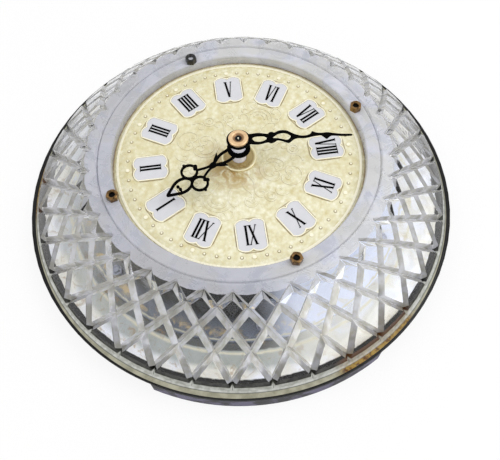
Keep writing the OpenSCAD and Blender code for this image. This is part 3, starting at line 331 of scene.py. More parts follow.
def stain_mask(f):
    """Where old dirt lies on the foot of the skirt: in one long and one short arc."""
    radius, angle = f.round_clock()
    long_arc = (angle.hump(radians(149.5), 0.25) * 6).least(1)
    short_arc = (angle.hump(radians(22), 0.22) * 2).least(0.85)
    foot = radius.rise(112 * MM, 120 * MM)
    return long_arc.most(short_arc) * foot * f.cloud(6, 4, 0.7).rise(0.26, 0.4)


def stain_tone(f, hues):
    """Golden dirt with dark brown grains."""
    return f.blend(f.cloud(2.4, 6, 0.75).rise(0.42, 0.6), hues.stain_gold, hues.stain)


def ground_cut_finish(hues):
    """Grooves left matt by the cutter."""
    f = Finish("ground_cut", IOR=CLEAR_IOR, Transmission_Weight=0.5)
    grit = f.cloud(1.6, 2, 0.5)
    mottle = f.cloud(6, 2)
    worn = f.blend(mottle.rise(0.35, 0.65), hues.groove_pale_and_highlight, hues.groove_deep)
    return f.done(
        f.blend(stain_mask(f) * 0.6, worn, stain_tone(f, hues)),
        grey(grit, 0.16, 0.3),
        f.relief(grit, 0.035),
    )


def milky_finish(hues, name, clearness):
    """Milky top of the skirt and the ring let into it, faintly clouded and scuffed, with painted
    highlight lines along its edges and painted shade on one side.
    """
    f = Finish(name, IOR=CLEAR_IOR, Transmission_Weight=clearness)
    radius, angle = f.round_clock()
    cloudy = f.cloud(11, 4, 0.55, warp=0.8)
    scuffs = f.cloud(1.4, 5, 0.7, at=f.moved(stretch=(1, 5, 1)))
    lines = (radius * (TURN / (0.8 * MM)) + cloudy * 3.0).ripple()
    warm = f.cloud(16, 2).rise(0.42, 0.6) * 0.6
    milk = f.blend(cloudy.rise(0.3, 0.7), hues.band_deep, hues.band_pale)
    milk = f.blend(warm, milk, hues.band_warm)
    # painted highlight: pale lines along the edges of the ring and of the collar band
    for edge, width in ((70.6, 0.5), (76.3, 0.4), (78.3, 0.5), (83.6, 0.6)):
        milk = f.blend(radius.hump(edge * MM, width * MM) * 0.35, milk, hues.groove_pale_and_highlight)
    # painted shade: the milky plastic is darker on the left and near sides
    dim = f.round_share(angle, (-70, 0.0), (-10, 0.8), (110, 0.8), (150, 0.0))
    milk = f.blend(dim * 0.55, milk, hues.band_painted_shade)
    return f.done(
        f.blend(scuffs.rise(0.62, 0.75) * 0.12, milk, hues.band_dust),
        grey(cloudy, 0.16, 0.34) + scuffs * 0.06,
        f.relief(lines * 0.3 + scuffs * 0.4, 0.02),
    )


def rim_finish(hues):
    """Foot of the skirt: wall under the diamonds painted near black as shade, pale lip, fine dark
    line, olive rim.
    """
    f = Finish("rim_clear", Specular_IOR_Level=0.3)
    radius, angle = f.round_clock()
    _, _, z = f.axes()
    lines = (radius * (TURN / (0.9 * MM))).ripple()
    mottle = f.cloud(5, 4)
    olive = f.blend(mottle.rise(0.3, 0.7), hues.rim_deep, hues.rim_pale)
    lip = f.blend(f.cloud(3).rise(0.35, 0.65), hues.lip_pale, hues.lip_deep)
    flat = radius.rise(LIP_R - 0.1 * MM, LIP_R + 0.3 * MM)
    ground = f.blend(flat, lip, olive)
    # the wall's shade grey also draws a fine grey line between the pale lip and the olive rim
    ground = f.blend(radius.hump(LIP_R, 0.4 * MM) * 0.8, ground, hues.wall_shade_grey)
    # painted shade: the wall under the diamonds is near black with grey patches
    patches = f.cloud(5, 4, 0.65).rise(0.4, 0.62)
    dark = f.blend(patches, hues.wall_shade_dark, hues.wall_shade_grey)
    wall = z.rise(FLANGE_TOP_Z + 2.6 * MM, FLANGE_TOP_Z + 3.6 * MM)
    stain = stain_mask(f)
    stained = f.blend(stain * grey(flat, 0.35, 1), ground, stain_tone(f, hues))
    shaded = f.blend(wall, stained, f.blend(stain * 0.8, dark, hues.stain))
    # the black band on the rim's outer edge is 0.3 mm wide on the camera's side and on the far
    # side, and 2.5 mm wide at the two sides between
    facing = angle - CAMERA_SIDE
    black_band_width = 2.5 * MM - facing.math("COSINE", facing) ** 2 * (2.2 * MM)
    black = (radius + black_band_width).rise(RIM_R - 0.1 * MM, RIM_R + 0.1 * MM)
    return f.done(
        f.blend(black, shaded, hues.black),
        grey(mottle, 0.14, 0.3),
        f.relief(lines, 0.03),
    )


def rim_black_finish(hues):
    """Outer wall of the rim, painted black."""
    f = Finish("rim_black", Specular_IOR_Level=0.05)
    grain = f.cloud(1.2, 4)
    return f.done(
        f.blend(grain.rise(0.6, 0.75) * 0.4, hues.black, hues.black_worn),
        grey(grain, 0.5, 0.7),
        f.relief(grain, 0.03),
    )


def from_nearest(radius, angle, count, circle):
    """Distances across and along a spoke from the nearest of count places on a circle."""
    half = TURN / count / 2
    turned = angle.math("WRAP", angle, half, -half)
    return abs(radius * turned.wave()), abs(radius * turned.math("COSINE", turned) - circle)


def frame_line(radius, angle):
    """Distance from the rounded frames of the twelve plaques, on the dial's plane."""
    across, along = from_nearest(radius, angle, 12, PLAQUE_R)
    across = (across - (PLAQUE_HALF_W - PLAQUE_END_R)).most(0)
    along = (along - (PLAQUE_HALF_L - PLAQUE_END_R)).most(0)
    return (across * across + along * along) ** 0.5 - PLAQUE_END_R


def bead_line(radius, angle):
    """Distance from the middle of the nearest minute bead, on the dial's plane."""
    across, along = from_nearest(radius, angle, 60, BEAD_R)
    return (across * across + along * along) ** 0.5


def dial_tone(f, hues):
    """Pebbled cream gold, darker and yellower on one side as painted shade, with brown age marks
    round the hub and painted shade along its edge.
    """
    radius, angle = f.round_clock()
    broad = f.cloud(12, 4, 0.6, warp=0.5)
    fine = f.cloud(3.2, 3, 0.6)
    hammered = f.cells(2.2, "SMOOTH_F1", at=f.moved(shift=(0.2, 0.1, 0)))
    gold = f.ramp(
        broad * 0.35 + fine * 0.42 + hammered * 0.33,
        (0.3, hues.dial_pale),
        (0.5, hues.dial_gold),
        (0.72, hues.dial_deep),
    )
    # painted shade: one side of the dial darker and yellower
    shade_side = f.round_share(angle, (-60, 0.35), (10, 1), (95, 0.0), (160, 0.0)) * broad
    toned = f.blend(shade_side * 0.6, gold, hues.dial_deep)
    blotch = f.cloud(7, 4, 0.6, warp=1.0)
    near_hub = radius.rise(27 * MM, 10 * MM) * blotch.rise(0.36, 0.56)
    mark = near_hub * angle.hump(radians(85), 2.4)
    aged = f.blend(mark, toned, hues.dial_stain)
    # painted shade: a blotchy brown band along the dial's edge under the ring's inner wall
    edge = radius.rise(68.3 * MM, 69.9 * MM) * blotch.rise(0.25, 0.5)
    return f.blend(edge * 0.9, aged, hues.dial_edge_shade)


def dial_finish(hues):
    """Cream-gold embossed sheet; the tops of the frames round the plaques and of the beads painted
    pale as highlight, with painted shade at their foot.
    """
    f = Finish("dial_gold", Metallic=0.12)
    radius, angle = f.round_clock()
    _, _, z = f.axes()
    pebble = f.cells(1.5, "SMOOTH_F1")
    grain = f.cloud(0.8, 4, 0.6)
    fine = f.cloud(3.2, 3, 0.6)
    away = frame_line(radius, angle)
    # painted shade: a grey-brown line at the foot of the frames and the beads
    foot = away.hump(1.0 * MM, 0.6 * MM).most(away.hump(0.02 * MM, 0.4 * MM))
    foot = foot.most(bead_line(radius, angle).hump(0.75 * MM, 0.4 * MM))
    # painted highlight: the raised tops of frames and beads are pale
    top = z.rise(DIAL_Z + 0.2 * MM, DIAL_Z + 0.36 * MM)
    toned = f.blend(foot * 0.9, dial_tone(f, hues), hues.relief_foot_shade)
    return f.done(
        f.blend(top * 0.9, toned, hues.relief_highlight),
        grey(grain, 0.34, 0.56),
        f.relief(pebble * -0.8 + grain * 0.35 + fine * 0.5, 0.4),
    )


def scroll_finish(hues):
    """Raised scroll lines in the dial's own tone, lightened a little as a painted highlight, with
    grey-brown painted shade at their foot.
    """
    f = Finish("scroll_gold", Metallic=0.12)
    _, _, z = f.axes()
    grain = f.cloud(0.8, 4)
    # patchy strength of the painted shade at the scroll's foot
    dirt = f.cloud(9).rise(0.3, 0.6)
    foot = z.rise(DIAL_Z + 0.26 * MM, DIAL_Z + 0.12 * MM) * grey(dirt, 0.45, 0.95)
    # painted highlight: the whole scroll a little paler
    tone = f.blend(0.12, dial_tone(f, hues), hues.relief_highlight)
    return f.done(
        f.blend(foot, tone, hues.relief_foot_shade),
        grey(grain, 0.36, 0.55),
        f.relief(grain, 0.05),
    )


def plaque_finish(hues):
    """Pale lilac-grey enamel."""
    f = Finish("plaque_enamel", Specular_IOR_Level=0.35)
    cloudy = f.cloud(5)
    return f.done(
        f.blend(cloudy, hues.plaque_deep, hues.plaque_pale),
        grey(f.cloud(1.2, 4), 0.3, 0.5),
        f.relief(f.cloud(0.5), 0.02),
    )


def black_paint_finish(hues, name, rough, shine=0.5):
    """Satin black, a little rubbed."""
    f = Finish(name, Specular_IOR_Level=shine)
    grain = f.cloud(0.35, 4, 0.6)
    rub = f.cloud(2.5, 4).rise(0.6, 0.74)
    return f.done(
        f.blend(rub * 0.25, hues.black, hues.black_worn),
        grey(grain, rough - 0.08, rough + 0.12),
        f.relief(grain, 0.015),
    )


def metal_finish(name, bright, dull, rough=(0.18, 0.4), metallic=1.0):
    """Metal with tarnish and a fine grain."""
    f = Finish(name, Metallic=metallic)
    tarnish = f.cloud(1.8, 5, 0.65, warp=0.5)
    fine = f.cloud(0.25)
    return f.done(
        f.blend(tarnish.rise(0.4, 0.7), bright, dull),
        grey(tarnish, *rough),
        f.relief(fine * 0.6, 0.02),
    )


def moulded_finish(name, pale, deep, rough=(0.35, 0.5), grain=0.4, depth=0.02):
    """Moulded plastic with a fine grain and faint clouds."""
    f = Finish(name)
    clouds = f.cloud(6)
    skin = f.cloud(grain, 3, 0.6)
    return f.done(f.blend(clouds, pale, deep), grey(skin, *rough), f.relief(skin, depth))


def reflector_finish(hues):
    """Bright sheet under the skirt: white outside, a cream line painted as a highlight, painted
    shade inside that fades on the lit and pale sides, golden oxide and dark specks.
    """
    f = Finish("reflector_silver", Metallic=0.35)
    radius, angle = f.round_clock()
    waves = f.cloud(18, 3, 0.5, warp=0.8)
    wide = radius + (waves - 0.5) * (9 * MM)
    sunny, pale = bright_side(angle), painted_pale_side(angle)
    # golden oxide, fading on the lit side as painted light
    oxide = f.cloud(7, 5, 0.65, warp=1.2).rise(0.54, 0.66) * (1 - sunny * 0.6)
    bright = f.blend(waves.rise(0.35, 0.6), hues.silver_pale, hues.silver_cream)
    # painted shade: grey-green inwards, near black further in, less on the lit and pale sides
    green = wide.rise(110 * MM, 105.5 * MM) * (1 - sunny * 0.75) * (1 - pale * 0.5)
    toned = f.blend(green * 0.85, bright, hues.sheet_inner_shade)
    brown = radius.rise(98.4 * MM, 97.6 * MM) * (1 - sunny * 0.85) * (1 - pale * 0.9)
    toned = f.blend(brown * 0.9, toned, hues.oxide_dark_and_shade)
    # painted highlight: a cream line across the sheet
    toned = f.blend(radius.hump(SHEET_LINE_R, 1.2 * MM), toned, hues.cream_highlight)
    specks = f.cloud(1.6, 4, 0.7).rise(0.66, 0.74)
    browned = f.blend(oxide * 0.55, toned, hues.oxide_gold)
    return f.done(
        f.blend(specks * 0.5, browned, hues.oxide_dark_and_shade),
        grey(waves, 0.25, 0.45) + oxide * 0.15,
        f.relief(waves, 0.5),
    )


def drum_finish(hues):
    """Drum and its base with painted light: near black painted shade under the collar, blue-grey
    outwards, painted gold reflections, the lit side painted bright with cream glints, and a cream
    highlight line on the base's edge.
    """
    f = Finish("drum_silver", Specular_IOR_Level=0.15)
    radius, angle = f.round_clock()
    patch = f.cloud(16, 4, 0.6, warp=1.0)
    streak = f.cloud(6, 4, 0.6, warp=0.8)
    wide = radius + (patch - 0.5) * (6 * MM)
    sunny, pale = bright_side(angle), painted_pale_side(angle)
    # painted light: pale on the pale side, near black as shade under the collar elsewhere
    outer = f.blend(pale, hues.drum_grey, hues.drum_pale)
    inner = f.blend(pale, hues.drum_shade, hues.drum_pale)
    toned = f.blend(wide.rise(85 * MM, 78 * MM), outer, inner)
    # painted reflection: gold marks on the drum
    gold_reflection = streak.rise(0.44, 0.6) * wide.hump(89 * MM, 4 * MM)
    toned = f.blend(gold_reflection * 0.9, toned, hues.drum_gold_reflection)
    # painted light: the lit side bright blue-white with cream glints
    bright = f.blend(streak.rise(0.52, 0.66) * 0.6, hues.drum_blue, hues.cream_highlight)
    toned = f.blend(sunny * 0.95, toned, bright)
    # painted highlight: a cream line on the edge of the drum's base
    return f.done(
        f.blend(radius.hump(BRIM_R, 0.8 * MM), toned, hues.cream_highlight),
        grey(patch, 0.12, 0.3),
        f.relief(streak, 0.15),
        Metallic=0.6 - sunny * 0.5,
    )


def coil_finish(hues):
    """Enamelled wire, wound along the bobbin, with painted shade between the turns."""
    f = Finish("winding_copper", Metallic=0.9)
    turns = (f.axes()[0] * (TURN / WINDING_PITCH)).ripple()
    gloss = f.cloud(1.5)
    return f.done(
        f.blend(turns, hues.copper_groove_shade, hues.copper),
        grey(gloss, 0.2, 0.4),
        f.relief(turns + f.cloud(0.4, 2) * 0.3, 0.05),
    )


def board_finish(hues):
    """Green lacquered board with faint copper tracks."""
    f = Finish("board_green")
    tracks = f.cells(2.4, "DISTANCE_TO_EDGE", 0.35).rise(0.14, 0.1)
    weave = f.cells(0.5, random_place=0.0)
    return f.done(
        f.blend(tracks * 0.6, hues.board_track, hues.board),
        grey(weave, 0.2, 0.35),
        f.relief(tracks * -1 + weave * 0.2, 0.03),
    )


def battery_finish(hues):
    """Dark green sleeve with bright steel ends."""
    f = Finish("battery_sleeve")
    ends = abs(f.axes()[0]).rise(23.6 * MM, 23.9 * MM)
    wrinkle = f.cloud(3, 4, at=f.moved(stretch=(0.3, 1, 1)))
    sleeve = f.blend(wrinkle, hues.sleeve, hues.sleeve_deep)
    return f.done(
        f.blend(ends, sleeve, hues.steel_pale),
        grey(wrinkle, 0.22, 0.36),
        f.relief(wrinkle, 0.08),
        Metallic=ends,
    )


def stud_finish(hues):
    """Bronze studs whose sunk ends are painted black as shade in the nuts' holes, and painted pale
    as a glint in the black nut.
    """
    f = Finish("stud_bronze", Metallic=0.8)
    x, y, z = f.axes()
    tarnish = f.cloud(1.2, 4)
    end = z.rise(TOP_Z + 1 * MM, TOP_Z + 2 * MM)
    low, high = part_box("dark_nut")
    away = abs(x - (low.x + high.x) / 2) + abs(y - (low.y + high.y) / 2)
    # painted shade and glint: the stud's end is black in the bronze nuts and pale in the black nut
    dirt = f.blend(away.rise(6 * MM, 5 * MM), hues.black, hues.steel_pale)
    plain = f.blend(tarnish, hues.bronze, hues.bronze_dull)
    return f.done(f.blend(end, plain, dirt), grey(tarnish, 0.3, 0.5), f.relief(tarnish, 0.05))


def cap_finish(hues):
    """Pale turned brass with a shaded dish and a middle hole painted black as shade."""
    f = Finish("cap_brass", Metallic=0.55)
    radius, _ = f.round_clock()
    tarnish = f.cloud(2.4, 4, 0.6)
    lathe = (radius * (TURN / (0.35 * MM))).ripple()
    dish = radius.rise(3.5 * MM, 2.6 * MM)
    # painted shade: black in the hole at the cap's middle
    hole = radius.rise(2.2 * MM, 1.7 * MM)
    plain = f.blend(tarnish.rise(0.45, 0.75) * 0.5, hues.cap_brass, hues.cap_dull)
    dished = f.blend(dish * 0.85, plain, hues.cap_dish)
    return f.done(
        f.blend(hole * 0.95, dished, hues.black),
        grey(tarnish, 0.3, 0.45),
        f.relief(lathe, 0.01),
    )


def boss_finish(hues):
    """Olive-tan boss with a brown stain on one side, painted shade in its dish and a painted
    highlight on its edge.
    """
    f = Finish("boss_gold", Metallic=0.3)
    radius, angle = f.round_clock()
    blotch = f.cloud(3, 5, 0.65, warp=0.8)
    dirt = blotch.rise(0.4, 0.6) * angle.hump(radians(100), 2.4)
    # painted shade: the dish inside the boss is darker
    dished = radius.rise(8.6 * MM, 8 * MM) * 0.6
    plain = f.blend(dished, hues.boss, hues.boss_stain_and_shade)
    plain = f.blend(dirt * 0.8, plain, hues.boss_stain_and_shade)
    # painted highlight: a bright line round the boss's edge
    return f.done(
        f.blend(radius.hump(9.3 * MM, 0.7 * MM), plain, hues.boss_edge_highlight),
        grey(blotch, 0.22, 0.42),
        f.relief(f.cloud(0.8), 0.04),
    )


def foot_shadow_finish(hues):
    """Violet-grey foot arcs under the rim, coloured as the rim's contact shadow, with dark patches.
    """
    f = Finish("foot_shadow_violet", Specular_IOR_Level=0.3)
    skin = f.cloud(1.2, 4, 0.6)
    patches = f.cloud(11, 4, 0.6).rise(0.44, 0.58)
    _, _, z = f.axes()
    seam = z.rise(SKIRT_FOOT_Z - 3 * MM, SKIRT_FOOT_Z - 2.4 * MM)
    # painted shadow: the arcs take the violet-grey of the rim's contact shadow
    rubber_and_shadow = f.blend(patches, hues.foot, hues.foot_shadow_deep)
    return f.done(f.blend(seam, rubber_and_shadow, hues.black), grey(skin, 0.45, 0.7), f.relief(skin, 0.12))


def arbor_finish(hues):
    """Brass arbor whose end inside the cap is painted black as the shade in the cap's hole."""
    f = Finish("arbor_brass", Metallic=0.6)
    _, _, z = f.axes()
    tarnish = f.cloud(1.8, 4)
    cap_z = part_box("hand_nut")[0].z
    # painted shade: the arbor is black above the foot of the cap
    end = z.rise(cap_z - 0.4 * MM, cap_z - 0.1 * MM)
    plain = f.blend(tarnish.rise(0.4, 0.7), hues.brass, hues.brass_dull)
    return f.done(
        f.blend(end, plain, hues.black),
        grey(tarnish, 0.25, 0.45),
        f.relief(tarnish, 0.02),
    )


# Modelling helpers


def deselect_all():
    if bpy.context.mode != "OBJECT":
        bpy.ops.object.mode_set(mode="OBJECT")
    bpy.ops.object.select_all(action="DESELECT")


def only(piece):
    deselect_all()
    piece.select_set(True)
    bpy.context.view_layer.objects.active = piece


def edit_all():
    """Opens the active piece's mesh with all of it selected."""
    bpy.ops.object.mode_set(mode="EDIT")
    bpy.ops.mesh.select_all(action="SELECT")


def settle():
    """Puts the active piece's place into its mesh."""
    bpy.ops.object.transform_apply(location=True, rotation=True, scale=True)


def named(name):
    piece = bpy.context.active_object
    piece.name = piece.data.name = name
    return piece


def joined(pieces, name):
    only(pieces[0])
    for piece in pieces:
        piece.select_set(True)
    bpy.ops.object.join()
    return named(name)


def tidy_shell(piece):
    """Merges doubles and turns every face outwards."""
    only(piece)
    edit_all()
    bpy.ops.mesh.remove_doubles(threshold=MERGE)
    bpy.ops.mesh.normals_make_consistent(inside=False)
    bpy.ops.object.mode_set(mode="OBJECT")
    return piece


def smooth(piece, angle):
    only(piece)
    bpy.ops.object.shade_smooth_by_angle(angle=radians(angle))
    return piece


def rounded_copy(node, name, width, segments, sharp, soft):
    """A merged copy of a node. Edges over sharp degrees are rounded, those under soft smooth."""
    piece = bpy.data.objects.new(name, frame["nodes"][node].data.copy())
    piece.data.name = name
    piece.data.materials.clear()
    bpy.context.scene.collection.objects.link(piece)
    tidy_shell(piece)
    cut = piece.modifiers.new("edges", "BEVEL")
    cut.width = width
    cut.segments = segments
    cut.limit_method = "ANGLE"
    cut.angle_limit = radians(sharp)
    bpy.ops.object.modifier_apply(modifier="edges")
    return smooth(piece, soft)


def dress(material, *nodes):
    """Gives whole nodes or pieces one finish."""
    for node in nodes:
        piece = frame["nodes"][node] if isinstance(node, str) else node
        piece.data.materials.clear()
        piece.data.materials.append(material)


def body_of(node):
    return frame["nodes"][node]["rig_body"]


def scroll(x, y, heading, turns, width, height):
    """A ridge of arcs. Each turn is (radius, degrees); positive degrees turn left.

    It starts as a small lying profile. The spin operator counts its angle clockwise, hence the
    sign given to it.
    """
    deselect_all()
    start = (x, y, DIAL_Z - SUNK)
    bpy.ops.mesh.primitive_circle_add(
        vertices=6, radius=width / 2, location=start, rotation=(pi / 2, 0, heading + pi / 2)
    )
    settle()
    edit_all()
    bpy.ops.transform.resize(value=(1, 1, 2 * height / width), center_override=start)
    for radius, degrees in turns:
        side = 1 if degrees > 0 else -1
        cx = x - side * radius * sin(heading)
        cy = y + side * radius * cos(heading)
        swing = radians(degrees)
        bpy.ops.mesh.spin(
            steps=max(2, int(abs(degrees) / SPIN_STEP)),
            angle=-swing,
            center=(cx, cy, DIAL_Z),
            axis=(0, 0, 1),
        )
        heading += swing
        x = cx + side * radius * sin(heading)
        y = cy - side * radius * cos(heading)
    bpy.ops.mesh.select_all(action="SELECT")
    bpy.ops.mesh.fill_holes(sides=8)
    return tidy_shell(bpy.context.active_object)


def mirrored(piece, x=1, y=1):
    """A copy turned over the clock's x or y axis, with its own mesh."""
    only(piece)
    bpy.ops.object.duplicate()
    edit_all()
    bpy.ops.transform.resize(value=(x, y, 1), center_override=(0, 0, 0))
    bpy.ops.mesh.normals_make_consistent(inside=False)
    bpy.ops.object.mode_set(mode="OBJECT")
    return bpy.context.active_object


# What a user may change


def number(name, words, value, **more):
    return bpy.props.FloatProperty(name=name, description=words, default=value, **more)


def length(name, words, millimetres):
    return number(name, words, millimetres * MM, unit="LENGTH", precision=5)


def colour(name, words, *numbers):
    return bpy.props.FloatVectorProperty(
        name=name, description=words, default=tint(*numbers), subtype="COLOR", min=0, max=1
    )


class ClockSizes(bpy.types.PropertyGroup):
    cut_edge: length("Cut edge", "Width of the worn edge between two cut faces", 0.16)
    ring_edge: length("Ring edge", "Rounding of the milky ring's edges", 0.35)
    hand_edge: length("Hand edge", "Rounding of the stamped hands", 0.12)
    nut_edge: length("Nut edge", "Rounding of the nuts on the ring", 0.15)
    scroll_width: length("Scroll width", "Width of a raised scroll line", 0.9)
    scroll_height: length("Scroll height", "Height of a raised scroll line", 0.4)


class ClockColours(bpy.types.PropertyGroup):
    clear_pale: colour("Clear, pale", "Clean clear plastic", 250, 250, 254)
    clear_deep: colour("Clear, deep", "Hazy clear plastic", 232, 236, 246)
    # pale groove tone, also the painted highlight lines on the milky edges
    groove_pale_and_highlight: colour("Groove, pale", "Matt groove, bright", 208, 209, 215)
    groove_deep: colour("Groove, deep", "Matt groove, creamy", 180, 178, 171)
    band_pale: colour("Band, pale", "Milky plastic, bright", 212, 213, 222)
    band_deep: colour("Band, deep", "Milky plastic, dull", 184, 187, 199)
    band_warm: colour("Band, warm", "Milky plastic, yellowed", 200, 199, 193)
    # painted shade of the milky plastic on its darker side
    band_painted_shade: colour("Band, dim", "Milky plastic on its dull side", 160, 161, 172)
    band_dust: colour("Band dust", "Dust in the milky plastic", 140, 130, 120)
    rim_pale: colour("Rim, pale", "Bright olive of the flat rim", 166, 164, 144)
    rim_deep: colour("Rim, deep", "Dull olive of the flat rim", 134, 132, 114)
    lip_pale: colour("Lip, pale", "Lip inside the rim", 190, 191, 186)
    lip_deep: colour("Lip, deep", "Dull places of the lip", 158, 160, 152)
    # painted shade of the wall under the diamonds, near black and grey; the grey also draws the
    # fine line at the lip
    wall_shade_dark: colour("Bevel, dark", "Wall under the diamonds", 8, 8, 7)
    wall_shade_grey: colour("Bevel, grey", "Grey places of the wall", 54, 55, 51)
    stain: colour("Stain", "Dirt at the foot of the skirt", 84, 50, 20)
    stain_gold: colour("Stain, gold", "Golden dirt on the skirt", 152, 124, 56)
    dial_gold: colour("Dial", "Middle tone of the dial", 225, 220, 188)
    dial_pale: colour("Dial, pale", "Light tone of the dial", 243, 241, 221)
    # dull tone of the dial, also its painted shade on one side
    dial_deep: colour("Dial, deep", "Dull tone of the dial", 206, 195, 148)
    # painted shade at the foot of the reliefs
    relief_foot_shade: colour("Relief foot", "Corner at a relief's foot", 146, 128, 94)
    # painted highlight on the tops of the reliefs
    relief_highlight: colour("Relief top", "Rubbed high places", 248, 243, 220)
    dial_stain: colour("Dial stain", "Marks round the hub", 172, 140, 78)
    # painted shade along the dial's edge under the ring
    dial_edge_shade: colour("Dial edge", "Brown edge of the dial", 128, 100, 62)
    plaque_pale: colour("Plaque, pale", "Enamel, light", 212, 212, 215)
    plaque_deep: colour("Plaque, deep", "Enamel, dull", 197, 198, 203)
    black: colour("Black", "Paint of hands and numerals", 2, 2, 2)
    black_worn: colour("Black, worn", "Rubbed black paint", 22, 22, 21)
    bronze: colour("Bronze", "Nuts on the ring", 150, 118, 78)
    bronze_dull: colour("Bronze, dull", "Brown places of the nuts", 58, 44, 30)
    brass: colour("Brass", "Bright brass inside", 214, 168, 98)
    brass_dull: colour("Brass, dull", "Tarnished brass inside", 128, 84, 40)
    cap_brass: colour("Cap", "Pale brass cap on the hub", 232, 198, 154)
    cap_dull: colour("Cap, dull", "Tarnish of the cap", 190, 150, 104)
    cap_dish: colour("Cap dish", "Shaded dish of the cap", 112, 76, 42)
    boss: colour("Boss", "Boss round the hub", 214, 200, 148)
    # painted highlight on the boss's edge
    boss_edge_highlight: colour("Boss, edge", "Bright edge of the boss", 244, 236, 200)
    # stain on one side of the boss, also the painted shade in its dish
    boss_stain_and_shade: colour("Boss, dull", "Stained part of the boss", 150, 120, 62)
    post_white: colour("Post", "White posts under the hands", 250, 250, 255)
    post_shade: colour("Post, dull", "Dull places of the posts", 228, 227, 246)
    silver_pale: colour("Sheet, pale", "Bright reflector", 252, 253, 255)
    silver_cream: colour("Sheet, cream", "Creamy reflector", 240, 236, 220)
    # painted shade: grey-green of the sheet further in
    sheet_inner_shade: colour("Sheet, deep", "Grey-green reflector", 156, 162, 152)
    oxide_gold: colour("Oxide, gold", "Golden oxide on the sheet", 158, 122, 62)
    # dark oxide specks, also the painted shade on the sheet's inner part
    oxide_dark_and_shade: colour("Oxide, dark", "Dark oxide on the sheet", 40, 39, 34)
    # painted highlight: cream lines and glints on the drum and the sheet under it
    cream_highlight: colour("Drum edge", "Thin pale edges of the drum's foot", 226, 220, 192)
    drum_blue: colour("Drum, blue", "Drum on its bright side", 238, 243, 254)
    drum_grey: colour("Drum, grey", "Blue-grey base of the drum", 112, 120, 132)
    # painted light: the drum on its pale side
    drum_pale: colour("Drum, pale", "Base of the drum on its pale side", 204, 201, 188)
    # painted reflection: gold marks on the drum
    drum_gold_reflection: colour("Drum, gold", "Golden marks on the drum", 234, 208, 150)
    drum_shade: colour("Drum, dark", "Drum under the collar", 6, 11, 8)
    # painted shadow: violet-grey of the rim's contact shadow, given to the foot arcs
    foot: colour("Foot", "Rubber of the wall foot", 94, 89, 114)
    foot_shadow_deep: colour("Foot, deep", "Dark patches of the foot", 30, 28, 34)
    steel_pale: colour("Steel", "Plated steel", 200, 202, 208)
    steel_deep: colour("Steel, dull", "Dull plated steel", 130, 132, 140)
    case_black: colour("Case", "Movement case", 26, 26, 28)
    case_worn: colour("Case, worn", "Rubbed places of the case", 44, 44, 48)
    natural: colour("Natural", "Wheels and plates inside", 236, 232, 216)
    natural_deep: colour("Natural, deep", "Wheels and plates, dull", 214, 208, 186)
    copper: colour("Copper", "Coil wire", 206, 108, 62)
    # painted shade between the turns of the coil
    copper_groove_shade: colour("Copper, deep", "Coil wire between turns", 110, 48, 24)
    board: colour("Board", "Circuit board", 26, 96, 54)
    board_track: colour("Track", "Tracks under the lacquer", 64, 140, 80)
    ochre: colour("Ochre", "Trim capacitor", 196, 140, 70)
    sleeve: colour("Sleeve", "Battery sleeve", 54, 88, 70)
    sleeve_deep: colour("Sleeve, deep", "Dull battery sleeve", 34, 60, 48)


class StageSettings(bpy.types.PropertyGroup):
    azimuth: number("Azimuth", "Camera's side, from +X", CAMERA_SIDE, subtype="ANGLE")
    elevation: number("Elevation", "Camera's slope down", radians(61.787), subtype="ANGLE")
    roll: number("Roll", "Camera's turn on its line of sight", radians(1.249), subtype="ANGLE")
    distance: length("Distance", "Camera to the rim's level, on its line of sight", 370.374)
    right: length("Right", "Clock's place right of the picture's middle", -5.672)
    up: length("Up", "Clock's place above the picture's middle", 22.705)
    lens: number("Lens", "Focal length in millimetres", 43.76, min=10)
    world_light: number("World light", "Even light from all sides", 0.85, min=0)
    soft_box: number("Soft box", "Power of the large soft lamp", 7.5, unit="POWER")
    floor: colour("Floor", "Pale floor", 236, 236, 236)


# The pieces


class Step:
    """What every step of the clock shares."""

    bl_options = {"REGISTER", "UNDO"}


